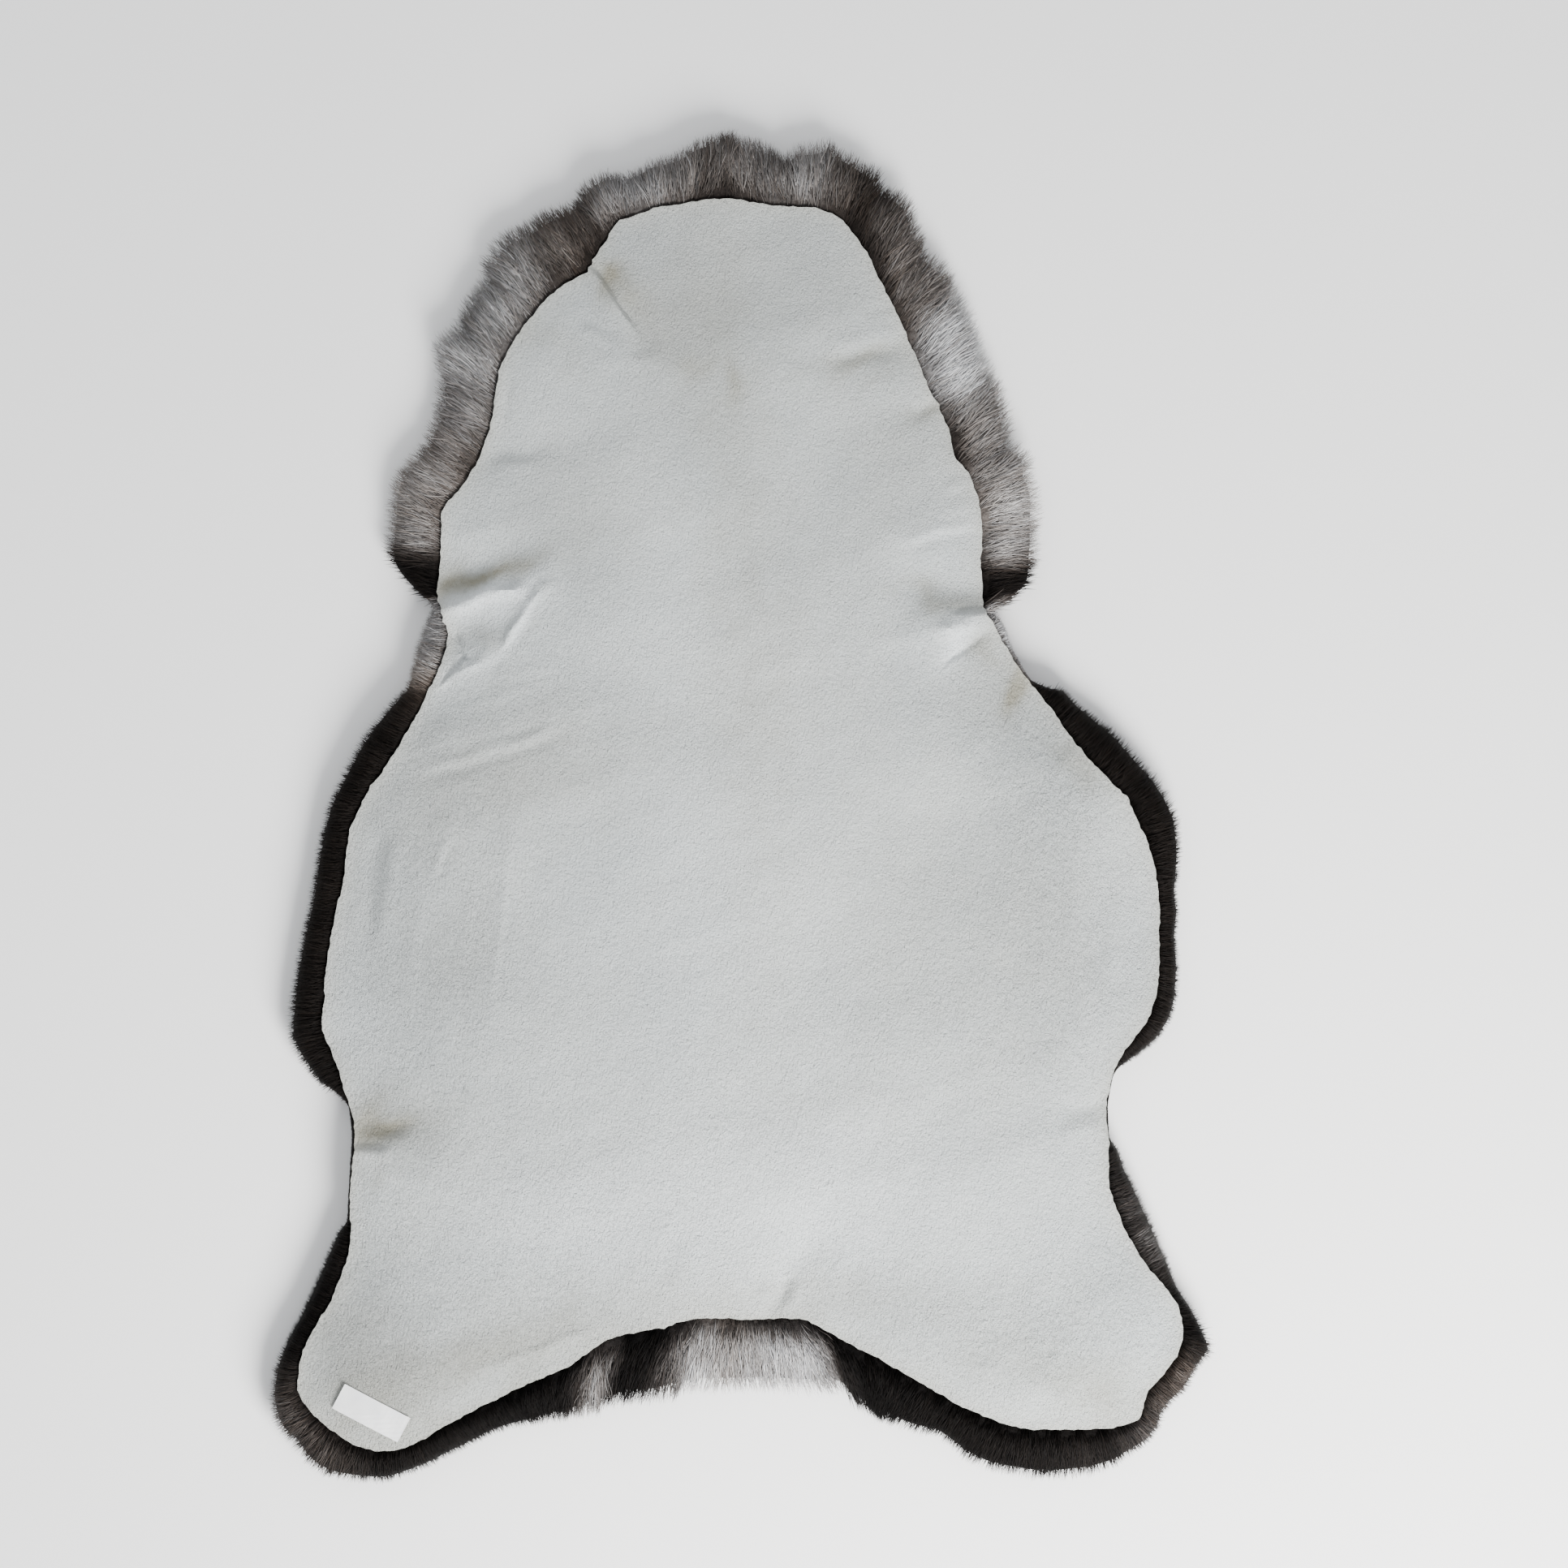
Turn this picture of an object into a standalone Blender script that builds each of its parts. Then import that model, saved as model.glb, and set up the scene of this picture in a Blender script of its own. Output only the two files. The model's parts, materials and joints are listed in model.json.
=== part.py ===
# Icelandic sheepskin rug, lying with its wool on the floor and its pale leather up.
#
# Frame: metres, +Z up, +Y towards the neck, +X to the right of someone who looks down at the leather.
# The tables and sizes are in millimetres from a point near the middle of the hide. The last step moves the
# whole rug so that its origin is on the floor, at the middle of its footprint.

import math
import random
from collections import namedtuple

import bmesh
import bpy
from mathutils import Matrix, Vector, geometry
from mathutils.bvhtree import BVHTree

MM = 0.001

# Thickness of the pieces and the gap that keeps them apart
LEATHER_THICKNESS = 2.0
LABEL_THICKNESS = 1.0
GAP = 0.3

# How high the leather's upper face lies on the pressed wool, and how it sinks towards its edge
LOFT = 37.0
EDGE_DROOP = 9.0
DROOP_WIDTH = 26.0

# Longest side of a facet along the edge, and across the middle of the hide
EDGE_STEP = 25.0
FIELD_STEP = 33.0

# Locks: the least reach of wool that has one, how narrow its tip is, and how unevenly the locks grow
LOCK_LEAST_REACH = 9.0
LOCK_TIP = 0.36
LOCK_SIDEWAYS = 0.14
LOCK_UNEVENNESS = (0.60, 1.25)
LOCK_TIP_CLEARANCE = 0.8

# The underside of the wool: the depth of its hollows, and the flat middle that always meets the floor
HOLLOW_DEPTH = 6.0
FLAT_MIDDLE_RADIUS = 130.0

Edge = namedtuple("Edge", "x y wool turn")

# The leather's edge, clockwise from the middle of the neck. The wool column says how far the wool reaches
# past the edge there.
LEATHER_EDGE = [
    # End of the neck
    Edge(-16, 474, 51, "round"),
    Edge(21, 468, 45, "round"),
    Edge(56, 466, 50, "round"),
    Edge(72, 460, 46, "sharp"),
    # Right side of the neck
    Edge(88, 442, 49, "round"),
    Edge(112, 398, 47, "round"),
    Edge(146, 322, 50, "round"),
    Edge(162, 283, 47, "round"),
    Edge(163, 276, 46, "sharp"),
    # Right shoulder
    Edge(176, 257, 47, "round"),
    Edge(184, 230, 46, "round"),
    Edge(185, 191, 44, "round"),
    Edge(186, 169, 36, "round"),
    # Right waist, where a fold draws the edge in
    Edge(187, 152, 3, "sharp"),
    Edge(193, 144, 4, "sharp"),
    Edge(204, 124, 4, "round"),
    Edge(224, 95, 6, "round"),
    # Right side of the belly
    Edge(243, 71, 24, "round"),
    Edge(261, 45, 32, "sharp"),
    Edge(296, 8, 31, "sharp"),
    Edge(308, -13, 29, "round"),
    Edge(321, -52, 18, "round"),
    Edge(324, -105, 16, "round"),
    Edge(317, -162, 18, "round"),
    Edge(291, -200, 8, "round"),
    # Right hip
    Edge(283, -231, 3, "round"),
    Edge(284, -263, 5, "round"),
    Edge(285, -297, 20, "round"),
    Edge(294, -323, 22, "round"),
    Edge(315, -360, 16, "round"),
    Edge(332, -379, 10, "round"),
    # Right hind leg
    Edge(342, -411, 22, "round"),
    Edge(337, -428, 18, "round"),
    Edge(314, -459, 18, "round"),
    Edge(307, -478, 18, "sharp"),
    Edge(295, -483, 26, "round"),
    Edge(257, -486, 35, "round"),
    Edge(209, -483, 38, "round"),
    Edge(183, -474, 34, "round"),
    # Tail, between the legs
    Edge(128, -444, 38, "round"),
    Edge(69, -412, 48, "round"),
    Edge(44, -400, 52, "round"),
    Edge(18, -400, 56, "round"),
    Edge(-47, -401, 54, "round"),
    Edge(-68, -407, 52, "sharp"),
    Edge(-108, -417, 46, "round"),
    Edge(-129, -432, 44, "round"),
    # Left hind leg
    Edge(-173, -453, 35, "round"),
    Edge(-235, -484, 23, "round"),
    Edge(-259, -498, 21, "round"),
    Edge(-292, -501, 24, "round"),
    Edge(-321, -486, 27, "round"),
    Edge(-346, -459, 23, "round"),
    Edge(-343, -422, 18, "round"),
    Edge(-324, -389, 16, "round"),
    Edge(-308, -345, 9, "round"),
    # Left hip
    Edge(-307, -297, 3, "round"),
    Edge(-304, -253, 3, "round"),
    Edge(-312, -220, 6, "round"),
    # Left side of the belly
    Edge(-329, -173, 24, "sharp"),
    Edge(-324, -111, 26, "round"),
    Edge(-312, -55, 26, "round"),
    Edge(-307, -17, 24, "round"),
    Edge(-291, 14, 23, "sharp"),
    Edge(-262, 59, 21, "round"),
    Edge(-243, 96, 17, "round"),
    Edge(-231, 134, 20, "round"),
    # Left waist
    Edge(-239, 163, 3, "sharp"),
    # Left shoulder
    Edge(-238, 186, 38, "round"),
    Edge(-235, 230, 42, "sharp"),
    Edge(-207, 271, 44, "round"),
    Edge(-195, 310, 45, "round"),
    Edge(-191, 339, 48, "round"),
    # Left side of the neck, with the tuck where the leather folds over itself
    Edge(-176, 367, 47, "round"),
    Edge(-144, 404, 49, "round"),
    Edge(-121, 417, 50, "sharp"),
    Edge(-118, 423, 48, "sharp"),
    Edge(-100, 454, 40, "sharp"),
    Edge(-69, 466, 37, "round"),
    Edge(-45, 470, 42, "round"),
]

Fold = namedtuple("Fold", "name x1 y1 x2 y2 height width")

# The main folds of the leather: the two ends of each fold's bright or dark line, the fold's height, negative
# for a trough, and its half width. The lines were read where daylight from below meets the fold's slope, so
# its crest or bottom lies farther the way the light goes, by CREST_SHIFT of the half width.
LIGHT_HEADING = Vector((-0.2, 0.98))
CREST_SHIFT = 0.7
FOLDS = [
    Fold("neck tuck", -123, 420, -85, 352, 4.0, 10),
    Fold("neck hollow", -137, 386, -74, 348, -2.5, 13),
    Fold("left neck dip", -207, 271, -143, 273, -4.0, 13),
    Fold("left waist trough", -239, 170, -172, 190, -8.0, 15),
    Fold("left waist ridge", -236, 147, -172, 167, 7.0, 10),
    Fold("left waist upper crease", -189, 123, -152, 167, 4.5, 9),
    Fold("left waist lower crease", -243, 86, -199, 113, 4.5, 10),
    Fold("long left ridge", -262, 42, -110, 72, 3.0, 10),
    Fold("left belly hollow", -290, -4, -298, -118, -3.0, 15),
    Fold("left belly ridge", -227, -20, -244, -62, 3.0, 10),
    Fold("left belly line", -180, -15, -197, -169, 2.5, 10),
    Fold("left hip hollow", -304, -250, -258, -257, -5.0, 14),
    Fold("left hip crease", -307, -274, -272, -272, 4.0, 9),
    Fold("tail fold", 37, -362, 25, -399, -5.0, 10),
    Fold("right neck trough", 59, 339, 126, 355, -4.0, 13),
    Fold("right shoulder nick", 131, 300, 154, 302, -3.5, 10),
    Fold("right shoulder ridge", 117, 202, 184, 220, 3.5, 10),
    Fold("right waist trough", 187, 153, 134, 165, -8.0, 14),
    Fold("right waist ridge", 194, 145, 150, 126, 7.0, 12),
    Fold("right belly roll", 291, -40, 296, -150, -3.0, 16),
    Fold("right hip hollow", 284, -240, 246, -246, -3.5, 14),
]

Wave = namedtuple("Wave", "across along turn height")

# Slow swells of the leather over the wool: wavelength in x and in y, start angle and height
SWELLS = [
    Wave(310, 520, 0.4, 1.7),
    Wave(-240, 330, 2.1, 1.3),
    Wave(170, -210, 4.0, 0.8),
]

# Lumps of the wool's underside, as the swells are given
LUMPS = [
    Wave(128, 149, 0.0, 1.0),
    Wave(-97, 173, 1.7, 0.8),
    Wave(211, -83, 3.3, 0.7),
]
LUMP_LEVEL = 0.45

RingRow = namedtuple("RingRow", "name reach height")

# The wool's rim, from the leather's edge round to the floor: the share of the wool's reach that each ring
# has, and its share of the wool's height at the leather's edge
RIM_RINGS = [
    RingRow("shoulder of the rim", 0.38, 1.03),
    RingRow("top of the upper locks", 0.66, 0.84),
    RingRow("between the rows of locks", 0.72, 0.49),
    RingRow("foot of the lower locks", 0.66, 0.15),
    RingRow("edge of the floor contact", 0.36, 0.0),
]
RIM_UNEVENNESS = 0.07
UPPER_LOCKS_RING = 2
LOWER_LOCKS_RING = 3
UPPER_TIP_HEIGHT = 0.52

# The label that lies on the left hind leg, and how far round a point it feels for the leather below it
LABEL_CENTRE = (-290, -472)
LABEL_SIZE = (58, 22)
LABEL_SLOPE = math.radians(-27.7)
LABEL_CELLS = (12, 5)
LABEL_LIFT = 0.5
LABEL_FEEL = 2.6

# Colours are linear RGB
LEATHER_COLOUR = (0.63, 0.64, 0.59)
WOOL_COLOUR = (0.09, 0.08, 0.075)
LABEL_COLOUR = (0.82, 0.83, 0.84)

rng = random.Random(20)


def clear_scene():
    for scene_object in list(bpy.data.objects):
        bpy.data.objects.remove(scene_object, do_unlink=True)


def material(name, colour, roughness):
    made = bpy.data.materials.new(name)
    made.use_nodes = True
    shader = made.node_tree.nodes["Principled BSDF"]
    shader.inputs["Base Color"].default_value = (*colour, 1.0)
    shader.inputs["Roughness"].default_value = roughness
    shader.inputs["Metallic"].default_value = 0.0
    return made


def waves(table, x, y):
    """The summed height of a table of slow waves at a point."""
    return sum(w.height * math.sin(math.tau * (x / w.across + y / w.along) + w.turn) for w in table)


def edge_points():
    """Ring of points on a smooth curve through LEATHER_EDGE, as (place, wool reach), at most EDGE_STEP apart."""
    rows = LEATHER_EDGE
    count = len(rows)
    places = [Vector((row.x, row.y)) for row in rows]

    def slope(index, chord):
        """Direction of the curve at a row; a sharp turn takes the direction of the chord that meets it."""
        if rows[index].turn == "sharp":
            return chord.normalized()
        before = places[index] - places[index - 1]
        after = places[(index + 1) % count] - places[index]
        mixed = before.normalized() * after.length + after.normalized() * before.length
        return mixed / (before.length + after.length)

    ring = []
    for index, start in enumerate(places):
        following = (index + 1) % count
        end = places[following]
        chord = end - start
        pull_start = slope(index, chord) * chord.length
        pull_end = slope(following, chord) * chord.length
        steps = math.ceil(chord.length / EDGE_STEP)
        for step in range(steps):
            t = step / steps
            place = (
                start * (2 * t**3 - 3 * t**2 + 1)
                + pull_start * (t**3 - 2 * t**2 + t)
                + end * (3 * t**2 - 2 * t**3)
                + pull_end * (t**3 - t**2)
            )
            wool = rows[index].wool * (1 - t) + rows[following].wool * t
            ring.append((place, wool))
    return ring


def outward_directions(places, window=3):
    """Unit vectors away from the hide, from a few points to each side, so that neighbours never cross."""
    count = len(places)
    directions = []
    for index in range(count):
        along = places[(index + window) % count] - places[index - window]
        directions.append(Vector((-along.y, along.x)).normalized())
    return directions


def distance_to_segment(point, start, end):
    """Distance to a line between two points, and how far along it the nearest point lies, from 0 to 1."""
    span = end - start
    share = max(0.0, min(1.0, (point - start).dot(span) / span.length_squared))
    return (point - start - span * share).length, share


def distance_to_edge(point, places):
    return min(distance_to_segment(point, places[i - 1], places[i])[0] for i in range(len(places)))


def fold_line(fold):
    """The two ends of a fold's crest or bottom."""
    start, end = Vector((fold.x1, fold.y1)), Vector((fold.x2, fold.y2))
    along = (end - start).normalized()
    side = Vector((-along.y, along.x))
    shift = side * side.dot(LIGHT_HEADING) * fold.width * CREST_SHIFT
    return start + shift, end + shift


def fold_height(point, fold):
    """A fold is a soft bell across its line, and it fades out past its ends."""
    distance, _ = distance_to_segment(point, *fold_line(fold))
    return fold.height * math.exp(-((distance / fold.width) ** 2))


def leather_height(point, places):
    """Height of the leather's upper face."""
    droop = EDGE_DROOP * math.exp(-distance_to_edge(point, places) / DROOP_WIDTH)
    folds = sum(fold_height(point, fold) for fold in FOLDS)
    return LOFT - droop + waves(SWELLS, point.x, point.y) + folds


def fold_points():
    """Points along each fold and at its two feet, so that the facets follow it."""
    points = []
    for fold in FOLDS:
        start, end = fold_line(fold)
        along = (end - start).normalized()
        side = Vector((-along.y, along.x)) * fold.width * 1.5
        steps = max(1, round((end - start).length / FIELD_STEP))
        for step in range(steps + 1):
            middle = start.lerp(end, step / steps)
            points += [middle, middle + side, middle - side]
    return points


def field_points(places):
    """Points inside the edge: those of the folds, then a staggered grid that fills the rest."""
    inside = BVHTree.FromPolygons([(*p, 0.0) for p in places], [list(range(len(places)))[::-1]])

    def is_inside(point):
        return inside.ray_cast(Vector((*point, 1.0)), Vector((0, 0, -1)))[0] is not None

    kept = []

    def keep(point, room):
        if not is_inside(point) or distance_to_edge(point, places) < room:
            return
        if all((point - other).length > room for other in kept):
            kept.append(point)

    for point in fold_points():
        keep(point, 9.0)
    row_step = FIELD_STEP * math.sqrt(3) / 2
    rows = range(-math.ceil(520 / row_step), math.ceil(520 / row_step))
    columns = range(-math.ceil(360 / FIELD_STEP), math.ceil(360 / FIELD_STEP))
    for row in rows:
        for column in columns:
            shift = FIELD_STEP / 2 if row % 2 else 0.0
            keep(Vector((column * FIELD_STEP + shift, row * row_step)), FIELD_STEP * 0.55)
    return kept


def triangulate(places, inner):
    """Triangles that fill the ring of places and use every inner point, facing up."""
    points = places + inner
    ring = list(range(len(places)))[::-1]
    found, _, faces, origins, _, _ = geometry.delaunay_2d_cdt(points, [], [ring], 1, 1e-6)
    if len(found) != len(points):
        raise RuntimeError("the edge crosses itself or two points meet")
    number = [origin[0] for origin in origins]
    return [tuple(number[corner] for corner in face) for face in faces]


def mesh_object(name, bm, look):
    """One closed mesh, in metres, shaded smooth but for its sharp edges."""
    bmesh.ops.recalc_face_normals(bm, faces=bm.faces)
    bmesh.ops.scale(bm, vec=(MM, MM, MM), verts=bm.verts)
    mesh = bpy.data.meshes.new(name)
    bm.to_mesh(mesh)
    bm.free()
    mesh.shade_smooth()
    mesh.set_sharp_from_angle(angle=math.radians(40))
    mesh.materials.append(look)
    made = bpy.data.objects.new(name, mesh)
    bpy.context.scene.collection.objects.link(made)
    return made


def make_skin(points, heights, triangles):
    """The leather: its upper face, extruded straight down by its thickness."""
    bm = bmesh.new()
    verts = [bm.verts.new((point.x, point.y, height)) for point, height in zip(points, heights)]
    faces = [bm.faces.new([verts[corner] for corner in triangle]) for triangle in triangles]
    lower = bmesh.ops.extrude_face_region(bm, geom=faces)["geom"]
    lower_verts = [item for item in lower if isinstance(item, bmesh.types.BMVert)]
    bmesh.ops.translate(bm, vec=(0, 0, -LEATHER_THICKNESS), verts=lower_verts)
    return mesh_object("skin", bm, material("leather", LEATHER_COLOUR, 0.85))


def add_band(bm, ring, places):
    """The next ring of the rim and the band of faces that joins it to the last one."""
    new_ring = [bm.verts.new(place) for place in places]
    band = []
    for i, vert in enumerate(ring):
        j = (i + 1) % len(ring)
        band.append(bm.faces.new((vert, ring[j], new_ring[j], new_ring[i])))
    return new_ring, band


def underside_height(point):
    """The wool's underside: flat on the floor, with shallow hollows between its lumps."""
    rise = max(0.0, waves(LUMPS, point.x, point.y) - LUMP_LEVEL)
    clear_of_middle = max(0.0, min(1.0, (point.length - FLAT_MIDDLE_RADIUS) / FIELD_STEP))
    return HOLLOW_DEPTH * min(1.0, rise) * clear_of_middle


def grow_lock(bm, face, outward, length, tip_height):
    """A four-sided lock: one face of the rim, extruded outwards and drawn in to a narrow tip."""
    tip = bmesh.ops.extrude_discrete_faces(bm, faces=[face])["faces"][0]
    root = tip.calc_center_median()
    lowest = min((vert.co.z - root.z) * LOCK_TIP for vert in tip.verts)
    end = root + outward * length
    end.z = max(tip_height, LOCK_TIP_CLEARANCE - lowest)
    for vert in tip.verts:
        vert.co = end + (vert.co - root) * LOCK_TIP


def make_fleece(points, heights, triangles, wool):
    """The wool: a slab under the leather, lumpy below, with a round rim and two rows of locks on it."""
    edge_count = len(wool)
    tops = [height - LEATHER_THICKNESS - GAP for height in heights]
    places = points[:edge_count]
    directions = outward_directions(places)
    bm = bmesh.new()
    top = [bm.verts.new((point.x, point.y, height)) for point, height in zip(points, tops)]
    for triangle in triangles:
        bm.faces.new([top[corner] for corner in triangle])

    ring = top[:edge_count]
    bands = []
    for row in RIM_RINGS:
        ring_places = []
        for place, direction, reach, height in zip(places, directions, wool, tops):
            uneven = 1 + rng.uniform(-RIM_UNEVENNESS, RIM_UNEVENNESS)
            spot = place + direction * reach * row.reach * uneven
            ring_places.append((spot.x, spot.y, height * row.height * uneven))
        ring, band = add_band(bm, ring, ring_places)
        bands.append(band)

    foot_ring, _ = add_band(bm, ring, [(place.x, place.y, 0.0) for place in places])
    inner_feet = [bm.verts.new((p.x, p.y, underside_height(p))) for p in points[edge_count:]]
    feet = foot_ring + inner_feet
    for triangle in triangles:
        bm.faces.new([feet[corner] for corner in reversed(triangle)])

    locks = 0
    for ring_number in (UPPER_LOCKS_RING, LOWER_LOCKS_RING):
        for i, face in enumerate(bands[ring_number]):
            reach = (wool[i] + wool[(i + 1) % edge_count]) / 2
            if reach < LOCK_LEAST_REACH:
                continue
            along = Vector((directions[i].y, -directions[i].x))
            outward = directions[i] + directions[(i + 1) % edge_count]
            outward = (outward.normalized() + along * rng.uniform(-LOCK_SIDEWAYS, LOCK_SIDEWAYS)).to_3d()
            root_share = RIM_RINGS[ring_number].reach
            length = reach * (1 - root_share) * rng.uniform(*LOCK_UNEVENNESS)
            is_upper = ring_number == UPPER_LOCKS_RING
            tip_height = tops[i] * UPPER_TIP_HEIGHT * rng.uniform(0.9, 1.15) if is_upper else 0.0
            grow_lock(bm, face, outward, length, tip_height)
            locks += 1
    print("locks:", locks)
    return mesh_object("fleece", bm, material("wool", WOOL_COLOUR, 0.9))


def make_label(skin):
    """A thin woven label, a grid that follows the leather below it and is extruded up by its thickness."""
    surface = BVHTree.FromObject(skin, bpy.context.evaluated_depsgraph_get())

    def leather_under(x, y):
        """The highest leather within a small step of a point."""
        steps = (-LABEL_FEEL, 0.0, LABEL_FEEL)
        heights = []
        for dx in steps:
            for dy in steps:
                start = Vector(((x + dx) * MM, (y + dy) * MM, 1.0))
                hit = surface.ray_cast(start, Vector((0, 0, -1)))[0]
                if hit:
                    heights.append(hit.z / MM)
        return max(heights)

    bm = bmesh.new()
    bmesh.ops.create_grid(bm, x_segments=LABEL_CELLS[0], y_segments=LABEL_CELLS[1], size=0.5)
    bmesh.ops.scale(bm, vec=(*LABEL_SIZE, 1), verts=bm.verts)
    bmesh.ops.rotate(bm, matrix=Matrix.Rotation(LABEL_SLOPE, 3, "Z"), verts=bm.verts)
    bmesh.ops.translate(bm, vec=(*LABEL_CENTRE, 0), verts=bm.verts)
    for vert in bm.verts:
        vert.co.z = leather_under(vert.co.x, vert.co.y) + LABEL_LIFT
    raised = bmesh.ops.extrude_face_region(bm, geom=list(bm.faces))["geom"]
    raised_verts = [item for item in raised if isinstance(item, bmesh.types.BMVert)]
    bmesh.ops.translate(bm, vec=(0, 0, LABEL_THICKNESS), verts=raised_verts)
    return mesh_object("label", bm, material("white satin", LABEL_COLOUR, 0.45))


def centre_on_floor(pieces):
    """Moves every mesh so that the whole rug stands on z = 0 and is centred on the origin."""
    corners = [vert.co for piece in pieces for vert in piece.data.vertices]
    low = [min(corner[axis] for corner in corners) for axis in range(3)]
    high = [max(corner[axis] for corner in corners) for axis in range(3)]
    middle = [(low[axis] + high[axis]) / 2 for axis in range(2)]
    for piece in pieces:
        piece.data.transform(Matrix.Translation((-middle[0], -middle[1], -low[2])))
    print("size in mm:", [round((high[axis] - low[axis]) / MM, 1) for axis in range(3)])
    print("moved by in mm:", [round(-value / MM, 1) for value in (*middle, low[2])])


def main():
    clear_scene()
    ring = edge_points()
    places = [place for place, _ in ring]
    wool = [reach for _, reach in ring]
    inner = field_points(places)
    triangles = triangulate(places, inner)
    points = places + inner
    heights = [leather_height(point, places) for point in points]
    print("points on the edge:", len(places), "inside:", len(inner))

    skin = make_skin(points, heights, triangles)
    fleece = make_fleece(points, heights, triangles, wool)
    label = make_label(skin)
    centre_on_floor([skin, fleece, label])


main()
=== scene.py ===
# %% [markdown]
# # An Icelandic sheepskin rug, wool down
#
# A sheepskin rug is one hide: tanned leather, pale and napped like suede, with the wool still growing from its
# other side. This one lies with the leather up, so the wool shows only where it reaches past the leather's
# edge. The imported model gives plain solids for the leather, the wool and a small label. Each step below takes
# its place and its size from those solids, and makes the finished surface around them.

# %% The frame
import json
import math

import bmesh
import bpy
import numpy as np
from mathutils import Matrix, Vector, geometry
from mathutils.bvhtree import BVHTree
from mathutils.kdtree import KDTree

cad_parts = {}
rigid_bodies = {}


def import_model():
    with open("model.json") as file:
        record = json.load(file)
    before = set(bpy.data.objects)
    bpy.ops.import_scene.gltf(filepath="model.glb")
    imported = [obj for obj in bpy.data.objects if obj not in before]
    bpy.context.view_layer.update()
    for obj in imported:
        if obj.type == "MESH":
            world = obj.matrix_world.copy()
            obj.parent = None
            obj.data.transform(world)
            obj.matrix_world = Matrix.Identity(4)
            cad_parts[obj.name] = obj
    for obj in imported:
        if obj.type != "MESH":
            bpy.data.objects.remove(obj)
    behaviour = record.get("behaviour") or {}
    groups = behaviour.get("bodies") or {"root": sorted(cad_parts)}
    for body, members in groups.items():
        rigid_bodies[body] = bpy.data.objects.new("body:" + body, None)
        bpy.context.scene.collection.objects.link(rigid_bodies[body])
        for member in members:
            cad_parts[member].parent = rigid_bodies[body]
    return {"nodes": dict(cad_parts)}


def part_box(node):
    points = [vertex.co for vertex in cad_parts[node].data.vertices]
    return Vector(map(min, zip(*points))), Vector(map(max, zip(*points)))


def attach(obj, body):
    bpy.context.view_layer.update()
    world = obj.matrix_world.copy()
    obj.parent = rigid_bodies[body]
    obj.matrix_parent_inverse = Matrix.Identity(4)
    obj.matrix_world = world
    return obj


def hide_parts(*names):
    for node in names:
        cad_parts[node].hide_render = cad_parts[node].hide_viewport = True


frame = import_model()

MM = 0.001
TABLE_SHIFT = np.array([3.0, -0.3])
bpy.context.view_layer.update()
rng = np.random.default_rng(41)


def on_rug(x, y):
    """A place from the tables below, in mm from the middle of the photographed leather, as metres on the rug."""
    return (np.array([x, y]) + TABLE_SHIFT) * MM


bpy.ops.object.select_all(action="DESELECT")

# %% [markdown]
# ## Camera, light and floor
#
# The rug was photographed from straight above, from far enough away that its near and far ends show at one
# scale. A long lens high over the floor gives that view. The light is one large soft window beyond the rug's
# right leg, so each fold is bright on its tail side, and a pale sky fills the shadows.

# %% Camera
PHOTO_SIDE = 1932
MM_PER_PIXEL = 0.63
PHOTO_MIDDLE = (34.0, 17.0)
CAMERA_HEIGHT = 3.5
SENSOR = 36.0

leather_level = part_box("skin")[1].z
frame_width = PHOTO_SIDE * MM_PER_PIXEL * MM
bpy.ops.object.camera_add(location=(PHOTO_MIDDLE[0] * MM, PHOTO_MIDDLE[1] * MM, CAMERA_HEIGHT))
camera = bpy.context.object
camera.name = "camera"
camera.data.sensor_width = SENSOR
camera.data.lens = SENSOR * (CAMERA_HEIGHT - leather_level) / frame_width
bpy.context.scene.camera = camera

# %% Floor and light
FLOOR_SIDE = 9.0
bpy.ops.mesh.primitive_plane_add(size=FLOOR_SIDE, location=(0, 0, -0.2 * MM))
floor = bpy.context.object
floor.name = "floor"


def plain_material(name, colour, roughness):
    made = bpy.data.materials.new(name)
    made.use_nodes = True
    shader = made.node_tree.nodes["Principled BSDF"]
    shader.inputs["Base Color"].default_value = (*colour, 1)
    shader.inputs["Roughness"].default_value = roughness
    return made


floor.data.materials.append(plain_material("pale floor", (0.96, 0.96, 0.96), 0.9))


def area_light(name, place, aim, size, power, colour):
    bpy.ops.object.light_add(type="AREA", location=place)
    lamp = bpy.context.object
    lamp.name = name
    lamp.data.shape = "DISK"
    lamp.data.size = size
    lamp.data.energy = power
    lamp.data.color = colour
    lamp.rotation_euler = (Vector(aim) - Vector(place)).to_track_quat("-Z", "Y").to_euler()


area_light("window", (0.80, -1.62, 1.2), (0.03, 0.05, 0), 1.1, 140, (1.0, 0.99, 0.97))
area_light("far wall", (-1.6, 2.2, 2.6), (0, 0, 0), 2.4, 15, (0.95, 0.98, 1.0))
world = bpy.data.worlds.new("sky")
world.use_nodes = True
world.node_tree.nodes["Background"].inputs["Color"].default_value = (0.965, 0.980, 1.000, 1)
world.node_tree.nodes["Background"].inputs["Strength"].default_value = 0.88
bpy.context.scene.world = world

# %% [markdown]
# ## The leather's edge
#
# A hide is cut by hand round its own outline, so its edge is a long uneven curve with a few corners. It could
# be drawn again here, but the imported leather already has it, as the rim of its upper faces. That rim is read
# as a ring of corners, a smooth curve is laid through them, and the curve is cut into short, even steps.

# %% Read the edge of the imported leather
UPWARD = 0.3


def merged_copy(node):
    """A CAD mesh is loose triangles, so the copy is merged before its edges can be followed."""
    bm = bmesh.new()
    bm.from_mesh(node.data)
    bmesh.ops.remove_doubles(bm, verts=bm.verts, dist=1e-6)
    bm.normal_update()
    return bm


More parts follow.
